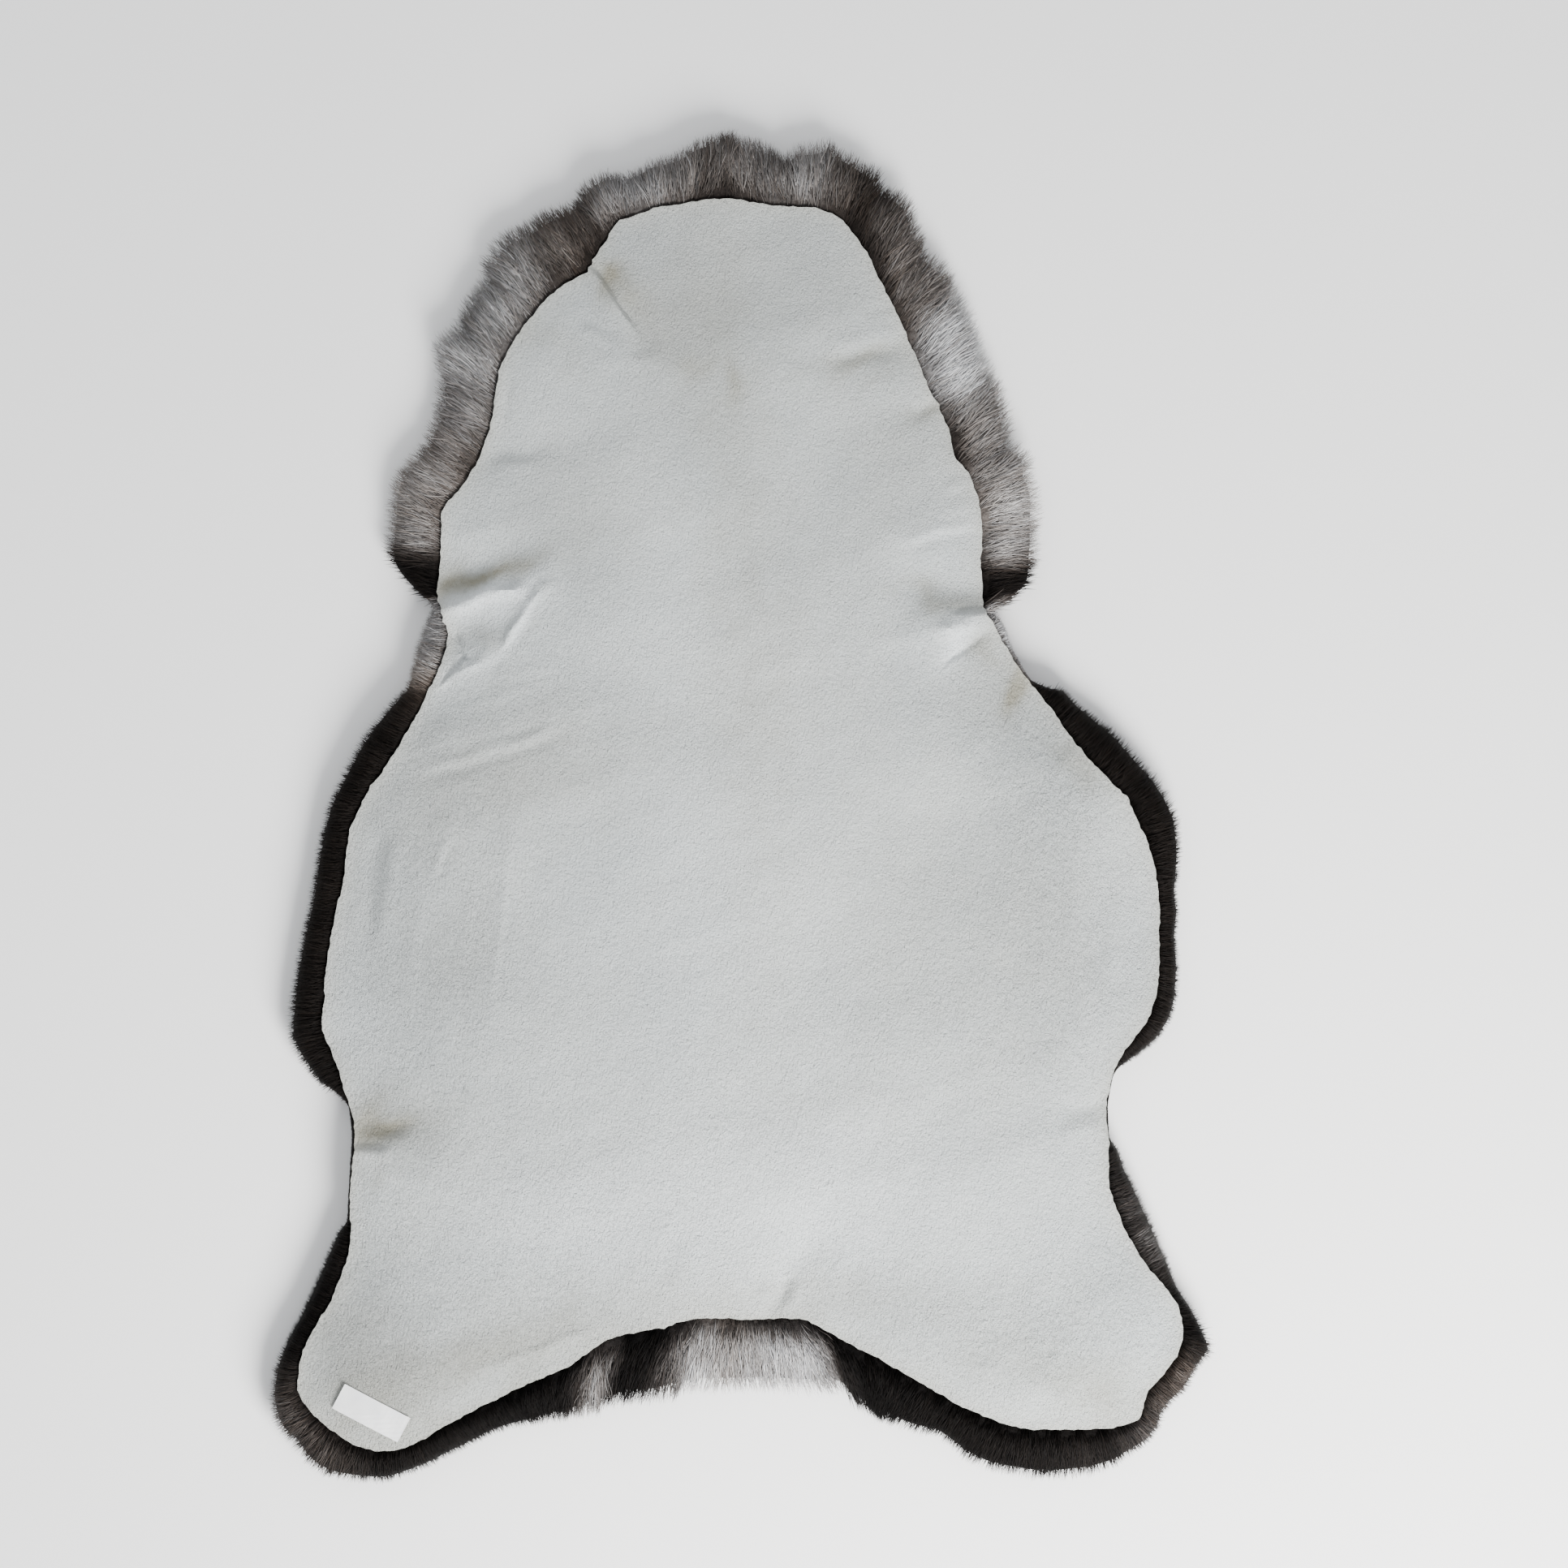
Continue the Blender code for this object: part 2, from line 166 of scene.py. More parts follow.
def edge_corners(node):
    """The corners of the rim of a sheet's upper faces, clockwise as seen from above."""
    bm = merged_copy(node)
    following = {}
    for face in bm.faces:
        for loop in face.loops:
            if face.normal.z > UPWARD and loop.link_loop_radial_next.face.normal.z <= UPWARD:
                following[loop.link_loop_next.vert] = loop.vert
    start = next(iter(following))
    ring = [start]
    while following[ring[-1]] is not start:
        ring.append(following[ring[-1]])
    corners = np.array([vert.co.xy for vert in ring])
    bm.free()
    return corners


def smooth_ring(corners, step):
    """Even steps along a smooth closed curve that passes through every corner."""
    before = corners - np.roll(corners, 1, axis=0)
    after = np.roll(before, -1, axis=0)
    length_before = np.linalg.norm(before, axis=1, keepdims=True)
    length_after = np.linalg.norm(after, axis=1, keepdims=True)
    slope = before / length_before * length_after + after / length_after * length_before
    slope /= length_before + length_after
    fine = []
    for t in np.linspace(0, 1, 24, endpoint=False):
        fine.append(
            corners * (2 * t**3 - 3 * t**2 + 1)
            + slope * length_after * (t**3 - 2 * t**2 + t)
            + np.roll(corners, -1, axis=0) * (3 * t**2 - 2 * t**3)
            + np.roll(slope, -1, axis=0) * length_after * (t**3 - t**2)
        )
    dense = np.stack(fine, axis=1).reshape(-1, 2)
    closed = np.vstack([dense, dense[:1]])
    travelled = np.concatenate([[0], np.cumsum(np.linalg.norm(np.diff(closed, axis=0), axis=1))])
    count = round(travelled[-1] / step)
    wanted = np.linspace(0, travelled[-1], count, endpoint=False)
    return np.stack([np.interp(wanted, travelled, closed[:, axis]) for axis in range(2)], axis=1)


skin = frame["nodes"]["skin"]
corners = edge_corners(skin)
print("corners on the packed edge:", len(corners))

# %% [markdown]
# ## The leather
#
# The leather is one sheet about 2 mm thick. It could be sculpted from a plane, but a hide's edge is no
# rectangle, so the inside of the edge is filled with an even net of small triangles instead. The net is
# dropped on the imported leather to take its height, relaxed a little so that no facet shows, and then creased.
# The creases are the fine part of each fold: a list of lines, each pressed in or raised, wandering a little.

# %% Fill the edge with a net of points
NET_STEP = 4.3 * MM
EDGE_WANDER = 0.55 * MM
TAG_SIZE = 1.4 * MM

# Small tags that the knife left on the edge, in mm
TAGS = [
    (-288, 15), (299, 8), (-65, -404), (-113, 422), (-97, 455), (-118, 416), (-240, 161), (-236, 152),
    (-233, 146), (297, 4), (261, 44), (187, 152), (150, 312),
]


def outward(ring, window):
    """Unit vectors away from the hide at each place of a clockwise ring."""
    along = np.roll(ring, -window, axis=0) - np.roll(ring, window, axis=0)
    along /= np.linalg.norm(along, axis=1, keepdims=True)
    return np.stack([-along[:, 1], along[:, 0]], axis=1)


def wander(count, waves, height):
    """A slow uneven wave round the ring, which meets itself."""
    turn = np.linspace(0, math.tau, count, endpoint=False)
    total = sum(np.sin(turn * k + rng.uniform(0, math.tau)) for k in waves)
    return total * height / math.sqrt(len(waves))


def hand_cut_edge():
    ring = smooth_ring(corners, NET_STEP * 0.8)
    away = outward(ring, 1)
    shift = wander(len(ring), (37, 61, 97, 143, 210, 290, 370), EDGE_WANDER)
    for tag in TAGS:
        nearest = np.argmin(np.linalg.norm(ring - on_rug(*tag), axis=1))
        shift[nearest] += TAG_SIZE
    return ring + away * shift[:, None]


def inside_ring(points, ring):
    """Which points lie inside the ring: a ray from each crosses the ring an odd number of times."""
    inside = np.zeros(len(points), bool)
    x, y = points[:, 0], points[:, 1]
    for (x1, y1), (x2, y2) in zip(ring, np.roll(ring, -1, axis=0)):
        crosses = (y1 > y) != (y2 > y)
        inside ^= crosses & (x < (x2 - x1) * (y - y1) / (y2 - y1 + 1e-30) + x1)
    return inside


def near_ring(points, ring, room):
    """Which points lie within a distance of the ring's places."""
    tree = KDTree(len(ring))
    for index, place in enumerate(ring):
        tree.insert((*place, 0), index)
    tree.balance()
    return np.array([tree.find((*point, 0))[2] < room for point in points])


def staggered_net(ring, step):
    """Points of a triangular net inside the ring, clear of its places by about half a step."""
    low, high = ring.min(axis=0), ring.max(axis=0)
    row_step = step * math.sqrt(3) / 2
    rows = np.arange(low[1], high[1], row_step)
    columns = np.arange(low[0], high[0], step)
    grid = np.array([(x + (row % 2) * step / 2, y) for row, y in enumerate(rows) for x in columns])
    grid = grid[inside_ring(grid, ring)]
    return grid[~near_ring(grid, ring, step * 0.6)]


# Lines where the leather turns sharply, from x, y to x, y in mm: the net is finer along them
SHARP_LINES = [
    (-118, 419, -84, 369), (-238, 90, -216, 115), (-226, 136, -216, 112), (192, 151, 160, 150),
    (191, 136, 156, 108), (-188, 122, -164, 159), (-243, 92, -200, 118),
]
SHARP_STEP = 2.0 * MM


def points_along(lines):
    """Close rows of points along each line and to both sides of it."""
    points = []
    for x1, y1, x2, y2 in lines:
        start, end = on_rug(x1, y1), on_rug(x2, y2)
        along = (end - start) / np.linalg.norm(end - start)
        side = np.array([-along[1], along[0]])
        for step in range(int(np.linalg.norm(end - start) / SHARP_STEP) + 1):
            for offset in (-4, -2.4, -1.1, 0, 1.1, 2.4, 4):
                points.append(start + along * (step + (offset % 2) * 0.3) * SHARP_STEP + side * offset * MM)
    return np.array(points)


def fill(ring, inner):
    """Triangles that fill a clockwise ring and use the inner points, facing up, numbered ring first."""
    points = [Vector(point) for point in np.vstack([ring, inner])]
    order = list(range(len(ring)))[::-1]
    found, _, faces, origins, _, _ = geometry.delaunay_2d_cdt(points, [], [order], 1, 1e-9)
    assert len(found) == len(points), "the edge crosses itself"
    number = np.array([origin[0] for origin in origins])
    return number[np.array(faces)]


edge = hand_cut_edge()
sharp = points_along(SHARP_LINES)
sharp = sharp[inside_ring(sharp, edge)]
sharp = sharp[~near_ring(sharp, edge, 1.2 * MM)]
coarse = staggered_net(edge, NET_STEP)
net = np.vstack([edge, coarse[~near_ring(coarse, sharp, 2.2 * MM)], sharp])
net_faces = fill(edge, net[len(edge):])
print("leather net:", len(net), "points", len(net_faces), "triangles")

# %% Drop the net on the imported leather
RELAX_STEPS = 16


def drop(points, node):
    """Height of a node's upper face under each point; a point just off the edge takes the nearest height."""
    bm = merged_copy(node)
    tree = BVHTree.FromBMesh(bm)
    bm.free()
    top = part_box(node.name)[1].z
    heights = []
    for x, y in points:
        hit = tree.ray_cast(Vector((x, y, 1.0)), Vector((0, 0, -1)))[0]
        heights.append((hit or tree.find_nearest(Vector((x, y, top)))[0]).z)
    return np.array(heights)


def relax(values, faces, steps):
    """Each value moves half way to the mean of its neighbours, several times over."""
    sides = np.vstack([faces[:, [0, 1]], faces[:, [1, 2]], faces[:, [2, 0]]])
    sides = np.vstack([sides, sides[:, ::-1]])
    count = np.bincount(sides[:, 0], minlength=len(values))
    for _ in range(steps):
        total = np.bincount(sides[:, 0], weights=values[sides[:, 1]], minlength=len(values))
        values = (values + total / count) / 2
    return values


heights = relax(drop(net, skin), net_faces, RELAX_STEPS)
print("leather height, lowest and highest in mm:", (heights.min() / MM).round(1), (heights.max() / MM).round(1))

# %% Crease it
# Each row: from x, y to x, y, height in mm (negative is pressed in) and half width in mm. The lines are the
# bright and dark ones of the photograph, so each crest or bottom lies farther the way the light goes.
LIGHT_HEADING = np.array([-0.2, 0.98])
CREST_SHIFT = 0.7
CREASES = [
    # Tuck at the neck
    (-125, 424, -84, 365, 1.6, 2.4), (-122, 426, -82, 368, -1.2, 1.8), (-127, 418, -88, 362, 0.9, 6.0),
    (-98, 401, -66, 352, -0.8, 7.0), (-137, 383, -74, 345, -0.6, 6.0), (-132, 372, -84, 352, 1.0, 5.0),
    (-120, 344, -60, 342, 0.6, 6.0),
    # Left side of the neck and shoulder
    (-188, 336, -190, 292, 0.9, 2.6), (-183, 337, -186, 292, -0.7, 3.0), (-206, 270, -150, 272, -0.6, 6.0),
    (-196, 262, -160, 263, 0.8, 5.0), (-232, 205, -190, 214, 0.5, 6.0),
    # Left waist
    (-244, 166, -190, 184, -2.6, 7.0), (-242, 146, -196, 162, 3.4, 5.0), (-206, 160, -168, 169, 2.6, 4.0),
    (-216, 138, -196, 142, -0.4, 6.0), (-190, 120, -164, 160, 1.6, 2.8), (-168, 154, -146, 173, 1.8, 3.2),
    (-182, 117, -158, 150, -0.4, 4.5), (-248, 85, -194, 115, 1.0, 3.0), (-242, 88, -214, 118, -0.8, 1.8),
    (-228, 140, -214, 108, -1.0, 1.7), (-221, 137, -211, 114, 0.7, 3.0), (-199, 104, -184, 118, -1.2, 2.6),
    (-192, 38, -146, 60, 0.8, 4.0), (-262, 22, -132, 62, 1.1, 3.6), (-258, 14, -130, 55, -0.9, 4.2),
    (-226, 74, -150, 92, 0.5, 4.0), (-176, 96, -150, 112, 0.5, 3.0),
    # Left side of the belly
    (-227, -24, -242, -56, 1.2, 3.0), (-222, -26, -237, -57, -0.8, 3.2), (-180, -15, -197, -169, 0.7, 2.8),
    (-176, -16, -193, -168, -0.4, 3.0), (-282, -10, -294, -118, -1.2, 8.0), (-268, -14, -280, -110, 0.9, 6.0),
    (-210, -60, -222, -130, 0.5, 4.0), (-250, -70, -262, -150, 0.5, 6.0),
    # Left hip and leg
    (-302, -250, -262, -256, -1.5, 6.0), (-306, -274, -274, -272, 1.4, 3.6), (-306, -268, -276, -265, -1.3, 3.6),
    (-300, -262, -250, -250, -0.7, 5.0), (-294, -284, -240, -300, 0.5, 6.0), (-318, -386, -296, -360, 0.5, 4.0),
    # Right side of the neck and shoulder
    (62, 340, 127, 354, -1.4, 6.0), (60, 352, 126, 367, 1.0, 7.0), (132, 299, 152, 314, -1.4, 4.0),
    (118, 202, 185, 220, 1.2, 3.0), (118, 197, 184, 213, -0.9, 3.4), (153, 243, 180, 253, 0.9, 2.6),
    (150, 225, 184, 234, 0.5, 3.0), (96, 380, 118, 392, -0.6, 4.0),
    # Right waist
    (197, 151, 160, 152, -1.2, 2.4), (190, 156, 132, 170, -0.5, 8.0), (200, 145, 148, 128, 2.2, 7.0),
    (194, 137, 152, 105, -1.5, 3.0), (180, 138, 140, 134, 0.8, 4.0), (140, 128, 96, 122, 0.5, 6.0),
    # Right side of the belly, hip and leg
    (262, 44, 240, 20, 0.6, 4.0), (268, -40, 276, -150, -0.9, 8.0), (286, -60, 292, -140, 0.8, 6.0),
    (252, -30, 258, -120, 0.5, 6.0), (284, -236, 250, -244, -1.0, 6.0), (282, -250, 244, -262, 0.7, 6.0),
    (232, -420, 238, -428, -1.6, 2.4), (121, -354, 124, -366, 0.7, 2.6), (164, -436, 200, -440, 0.8, 3.0),
    # Tail
    (37, -366, 26, -396, -1.8, 3.6), (44, -368, 35, -396, 1.1, 3.4), (20, -372, 14, -396, 0.8, 3.2),
    (-30, -330, -60, -392, 0.4, 7.0), (80, -340, 70, -400, 0.4, 7.0),
]
LEG_WRINKLE = (-230, -446, -124, -420)
LEG_WRINKLES = 6
CREASE_DEPTH = 1.6
CREASE_WANDER = 1.6
MOTTLE_HEIGHT = 0.22
SWELL_HEIGHT = 1.6


def slow_noise(points, size, seed):
    """Smooth uneven values from -1 to 1 over the floor; size is the length of a lump, in the points' unit."""
    own = np.random.default_rng(seed)
    total = np.zeros(len(points))
    for _ in range(7):
        turn, start = own.uniform(0, math.tau, 2)
        pace = math.tau / (size * own.uniform(1.4, 3.2))
        total += np.sin((points[:, 0] * math.cos(turn) + points[:, 1] * math.sin(turn)) * pace + start)
    return np.clip(total / 3.2, -1, 1)


def crease_height(points, rows):
    """Sum of all creases at each point, in mm. A crease is a soft bell across its line and fades at its ends."""
    warp = np.stack([slow_noise(points, 16, 3), slow_noise(points, 16, 4)], axis=1) * CREASE_WANDER
    total = np.zeros(len(points))
    for x1, y1, x2, y2, height, width in rows:
        start, span = on_rug(x1, y1) / MM, np.array([x2 - x1, y2 - y1])
        length = np.linalg.norm(span)
        side = np.array([-span[1], span[0]]) / length
        offset = points + warp - start - side * (side @ LIGHT_HEADING) * width * CREST_SHIFT
        along = offset @ span / length**2
        across = np.abs(offset[:, 0] * span[1] - offset[:, 1] * span[0]) / length
        fade = np.clip(along / 0.25, 0, 1) * np.clip((1 - along) / 0.25, 0, 1)
        fade = fade * fade * (3 - 2 * fade)
        total += height * fade * np.exp(-((across / width) ** 2))
    return total


def leg_wrinkles():
    """Fine wrinkles side by side along the inner edge of the left leg."""
    x1, y1, x2, y2 = LEG_WRINKLE
    rows = []
    for number in range(LEG_WRINKLES):
        slide, inward = number * 11.0, number * 3.6
        rows.append((x1 + slide, y1 + inward, x2 + slide * 0.4, y2 + inward, 0.45, 1.9))
    return rows


net_mm = net / MM
heights += crease_height(net_mm, CREASES + leg_wrinkles()) * CREASE_DEPTH * MM
heights += slow_noise(net_mm, 15, 5) * MOTTLE_HEIGHT * MM
heights += slow_noise(net_mm, 34, 6) * 2 * MOTTLE_HEIGHT * MM
heights += slow_noise(net_mm, 62, 12) * SWELL_HEIGHT * MM
print("creases:", len(CREASES) + LEG_WRINKLES)

# %% Colour attributes of the leather
# Each row: middle x, y, half sizes along and across in mm, turn in degrees, strength of the olive-brown mark. Most
# marks are stains; those in the hollows of folds at the neck's tuck, both waists and the left hip are painted shade.
STAINS_AND_FOLD_SHADE = [
    (-107, 414, 18, 7, -58, 0.8), (-91, 397, 36, 14, -55, 0.42), (-204, 180, 44, 9, 17, 0.7),
    (-214, 174, 30, 8, 18, 0.7), (160, 162, 34, 8, -12, 0.35), (215, 92, 22, 9, 58, 1.6),
    (192, 122, 14, 10, -50, 0.5), (-16, 300, 30, 180, 0, 0.2), (10, 60, 40, 260, 0, 0.22),
    (80, 40, 60, 300, 4, 0.14), (92, 345, 34, 9, 12, 0.5), (142, 306, 14, 7, 40, 0.5),
    (-160, 366, 40, 12, -30, 0.2), (-292, -253, 34, 15, 12, 1.0), (-286, -292, 12, 6, 60, 0.3),
    (200, -430, 80, 40, 0, 0.18), (280, -460, 50, 24, -20, 0.4), (-280, -480, 60, 24, -25, 0.4),
    (-190, -430, 90, 26, 20, 0.3), (20, -380, 130, 20, 0, 0.2), (262, 30, 30, 10, -42, 0.35),
    (-40, 340, 16, 10, 0, 0.3), (-9, 330, 8, 14, 0, 0.35), (-140, 30, 150, 60, 10, 0.12),
    (-60, -250, 200, 90, 0, 0.10), (180, -100, 60, 160, 0, 0.12),
]


# Soft patches round the rows of a table, used alike for stains, painted shade, painted light and wear.
def soft_patch_map(points, rows):
    warp = np.stack([slow_noise(points, 22, 8), slow_noise(points, 22, 9)], axis=1) * 7
    total = np.zeros(len(points))
    for x, y, along, across, turn, strength in rows:
        cos, sin = math.cos(math.radians(turn)), math.sin(math.radians(turn))
        offset = points + warp - on_rug(x, y) / MM
        u = (offset[:, 0] * cos + offset[:, 1] * sin) / along
        v = (offset[:, 1] * cos - offset[:, 0] * sin) / across
        total += strength * np.exp(-(u**2 + v**2))
    return np.clip(total, 0, 1)


def edge_distance(points, ring):
    tree = KDTree(len(ring))
    for index, place in enumerate(ring):
        tree.insert((*place, 0), index)
    tree.balance()
    return np.array([tree.find((*point, 0))[2] for point in points])


# Where the leather is most wrinkled, as rows like those above
WORN = [
    (-240, -60, 60, 110, 0, 0.8), (-280, -140, 40, 90, 0, 0.5), (-250, -230, 70, 40, 0, 0.9),
    (250, -40, 50, 120, 0, 0.8), (230, -150, 70, 70, 0, 0.6), (-190, -380, 140, 80, 20, 1.0),
    (-270, -400, 70, 90, 0, 0.9), (200, -420, 90, 40, 0, 0.9), (280, -400, 50, 70, 0, 0.5),
    (90, -380, 60, 40, 0, 0.6), (230, 40, 60, 40, -40, 0.5), (-150, 60, 90, 60, 10, 0.4),
    (0, -200, 240, 120, 0, 0.3),
]
# Where the leather is darker, as rows like those above: partly painted shade, at the neck end away from the window
# and on fold sides turned from it, and partly darker leather
SHADES = [
    (-54, 388, 50, 70, 0, 0.8), (-145, 225, 60, 70, 0, 0.42), (-182, 24, 95, 40, 10, 0.45),
    (-228, -122, 68, 58, 0, 0.45), (-276, -254, 36, 30, 0, 0.8), (-200, -424, 110, 30, 16, 0.8),
    (-300, -430, 50, 60, 0, 0.85), (201, 87, 44, 34, 0, 0.6), (215, 92, 16, 7, 58, 0.8),
    (238, -95, 40, 85, 0, 0.25),
    (40, -390, 90, 22, 0, 0.35), (120, 270, 50, 70, 20, 0.4), (-206, 136, 18, 10, 0, 0.6),
    (60, 410, 60, 60, 0, 0.4), (160, 164, 40, 12, -12, 0.4),
]
# Painted light: painted highlights on the lit sides of folds at the waists, the hip and the right shoulder, and
# painted light over the middle and the tail end, nearer the window
PAINTED_LIGHT = [
    (-200, 158, 38, 9, 16, 1.4), (-174, 142, 26, 5, 58, 0.7), (-221, 101, 28, 5, 30, 0.6),
    (172, 136, 26, 12, 24, 0.9), (160, 120, 20, 12, 40, 0.5), (-145, -323, 85, 45, 0, 0.5),
    (30, -300, 140, 70, 0, 0.7), (10, -10, 80, 220, 0, 0.5), (150, 214, 34, 4, 14, 0.35),
    (-296, -275, 16, 4, 0, 0.5),
]
stain_and_fold_shade = soft_patch_map(net_mm, STAINS_AND_FOLD_SHADE)
shade = soft_patch_map(net_mm, SHADES)
pale = soft_patch_map(net_mm, PAINTED_LIGHT)
worn = 0.26 + 0.74 * soft_patch_map(net_mm, WORN)
rim_nearness = np.exp(-edge_distance(net, edge) / (7 * MM))


def add_attribute(mesh, name, values):
    layer = mesh.attributes.new(name, "FLOAT", "POINT")
    layer.data.foreach_set("value", np.asarray(values, np.float32))


# %% Make the sheet and give it its thickness
LEATHER_THICKNESS = 2.0 * MM


def new_piece(name, points, faces):
    mesh = bpy.data.meshes.new(name)
    mesh.from_pydata(np.asarray(points).tolist(), [], np.asarray(faces).tolist())
    mesh.validate()
    piece = bpy.data.objects.new(name, mesh)
    bpy.context.scene.collection.objects.link(piece)
    return piece


def apply_modifiers(piece):
    bpy.ops.object.select_all(action="DESELECT")
    piece.select_set(True)
    bpy.context.view_layer.objects.active = piece
    for modifier in list(piece.modifiers):
        bpy.ops.object.modifier_apply(modifier=modifier.name)


leather_points = np.column_stack([net, heights])
leather = new_piece("leather", leather_points, net_faces)
add_attribute(leather.data, "stain_and_fold_shade", stain_and_fold_shade)
add_attribute(leather.data, "rim", rim_nearness)
add_attribute(leather.data, "worn", worn)
add_attribute(leather.data, "shade", shade)
add_attribute(leather.data, "pale", pale)
thicken = leather.modifiers.new("thickness", "SOLIDIFY")
thicken.thickness = LEATHER_THICKNESS
thicken.offset = -1
thicken.use_even_offset = False
apply_modifiers(leather)
leather.data.shade_smooth()
leather.data.set_sharp_from_angle(angle=math.radians(50))

# %% [markdown]
# ## The leather's finish
#
# Tanned sheepskin is matt and slightly furry. Three things make it: a fine nap of little lumps about a
# millimetre across, faint clouds of cream and grey, and olive-brown marks, most of them stains and those in the
# hollows of folds painted shade. The nap and the clouds are noise in Object coordinates. The marks were painted
# on the mesh as an attribute. Darker places, partly painted shade and partly darker leather, are the attribute
# shade.
# Painted highlights on lit folds, and painted light over the middle and the tail end, are pale. The yellow edge is
# rim, and the worn places, where the grain is coarse, are worn.

# %% Suede material
def node(tree, kind, **inputs):
    """A node with some of its sockets set, named by their labels with _ for a space."""
    made = tree.nodes.new(kind)
    for key, value in inputs.items():
        made.inputs[key.replace("_", " ")].default_value = value
    return made


def noise(tree, where, scale, detail, roughness=0.55):
    made = node(tree, "ShaderNodeTexNoise", Scale=scale, Detail=detail, Roughness=roughness)
    tree.links.new(where, made.inputs["Vector"])
    return made.outputs["Fac"]


def mix_colour(tree, factor, first, second, blend="MIX"):
    """Mixes two colours; each is a socket or an RGB value, and the factor is a socket or a number."""
    made = tree.nodes.new("ShaderNodeMix")
    made.data_type = "RGBA"
    made.blend_type = blend
    for socket, value in ((made.inputs[0], factor), (made.inputs[6], first), (made.inputs[7], second)):
        if isinstance(value, bpy.types.NodeSocket):
            tree.links.new(value, socket)
        else:
            socket.default_value = value if isinstance(value, float) else (*value, 1)
    return made.outputs[2]


def spread(tree, value, low, high, to_low=0.0, to_high=1.0):
    """Stretches part of a value's range over another range."""
    made = tree.nodes.new("ShaderNodeMapRange")
    tree.links.new(value, made.inputs["Value"])
    for key, number in (("From Min", low), ("From Max", high), ("To Min", to_low), ("To Max", to_high)):
        made.inputs[key].default_value = number
    return made.outputs["Result"]


def calculate(tree, operation, first, second):
    made = tree.nodes.new("ShaderNodeMath")
    made.operation = operation
    for socket, value in zip(made.inputs, (first, second)):
        if isinstance(value, bpy.types.NodeSocket):
            tree.links.new(value, socket)
        else:
            socket.default_value = value
    return made.outputs["Value"]


def read_attribute(tree, name):
    made = tree.nodes.new("ShaderNodeAttribute")
    made.attribute_name = name
    return made.outputs["Fac"]


def bump(tree, height, strength, distance, below=None):
    made = node(tree, "ShaderNodeBump", Strength=strength, Distance=distance)
    tree.links.new(height, made.inputs["Height"])
    if below:
        tree.links.new(below, made.inputs["Normal"])
    return made.outputs["Normal"]


def start_material(name, roughness):
    made = bpy.data.materials.new(name)
    made.use_nodes = True
    tree = made.node_tree
    shader = tree.nodes["Principled BSDF"]
    shader.inputs["Roughness"].default_value = roughness
    return made, tree, shader


def suede_material():
    made, tree, shader = start_material("pale suede", 0.88)
    shader.inputs["Sheen Weight"].default_value = 0.04
    shader.inputs["Sheen Roughness"].default_value = 0.45
    shader.inputs["Specular IOR Level"].default_value = 0.25
    where = tree.nodes.new("ShaderNodeTexCoord").outputs["Object"]
    cloud = spread(tree, noise(tree, where, 11, 4), 0.35, 0.65)
    colour = mix_colour(tree, cloud, (0.532, 0.571, 0.582), (0.584, 0.617, 0.616))
    # Painted shade, and partly darker leather, where the shade attribute is high.
    colour = mix_colour(tree, read_attribute(tree, "shade"), colour, (0.365, 0.377, 0.364))
    # Painted highlights and painted light where the pale attribute is high.
    colour = mix_colour(tree, read_attribute(tree, "pale"), colour, (0.800, 0.845, 0.865))
    patch = spread(tree, noise(tree, where, 55, 5, 0.62), 0.3, 0.7, 0.75, 1.30)
    # Olive-brown marks: stains, and painted shade in the hollows of folds.
    marks = calculate(tree, "MULTIPLY", read_attribute(tree, "stain_and_fold_shade"), patch)
    colour = mix_colour(tree, marks, colour, (0.285, 0.272, 0.212))
    rim = calculate(tree, "MULTIPLY", read_attribute(tree, "rim"), 0.55)
    colour = mix_colour(tree, rim, colour, (0.455, 0.442, 0.380))
    nap = noise(tree, where, 700, 3, 0.6)
    colour = mix_colour(tree, spread(tree, nap, 0.3, 0.7, 0.0, 0.22), colour, (0.40, 0.40, 0.375))
    tree.links.new(colour, shader.inputs["Base Color"])
    drawn_out = tree.nodes.new("ShaderNodeMapping")
    drawn_out.inputs["Scale"].default_value = (1.15, 0.5, 1.0)
    tree.links.new(where, drawn_out.inputs["Vector"])
    worn_here = read_attribute(tree, "worn")
    drawn = drawn_out.outputs["Vector"]
    wrinkle = calculate(tree, "MULTIPLY", noise(tree, where, 130, 3, 0.6), worn_here)
    wrinkled = bump(tree, wrinkle, 1.0, 0.0022)
    scratch = calculate(tree, "MULTIPLY", noise(tree, drawn, 400, 4, 0.65), worn_here)
    scratched = bump(tree, scratch, 1.0, 0.0046, wrinkled)
    scratched = bump(tree, noise(tree, drawn, 620, 3, 0.6), 1.0, 0.0015, scratched)
    napped = bump(tree, nap, 1.0, 0.0013, scratched)
    tree.links.new(napped, shader.inputs["Normal"])
    return made


leather.data.materials.append(suede_material())
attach(leather, "root")
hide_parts("skin")

# %% [markdown]
# ## How the wool lies
#
# The wool hides its own roots: what shows is a band of fibres that leave the leather's edge and lie outwards,
# in tufts. So everything about it is described along the edge, as on a seam: how far it reaches, which way it
# is brushed and how it is coloured. The imported wool has the reach in coarse locks. The photograph has the
# notches between the tufts too, so the line of the tips is read off it, and the reach of each place is
# the distance to that line along the brushing.

# %% The rim, place by place
RIM_STEP = 2.0 * MM
LEAST_REACH = 1.6 * MM
MOST_REACH = 66 * MM
rim = smooth_ring(corners, RIM_STEP)
RIM_COUNT = len(rim)
rim_tree = KDTree(RIM_COUNT)
for index, place in enumerate(rim):
    rim_tree.insert((*place, 0), index)
rim_tree.balance()


def nearest_rim(spots):
    """The number of the rim's place that is nearest to each spot."""
    return np.array([rim_tree.find((spot[0], spot[1], 0))[1] for spot in spots])


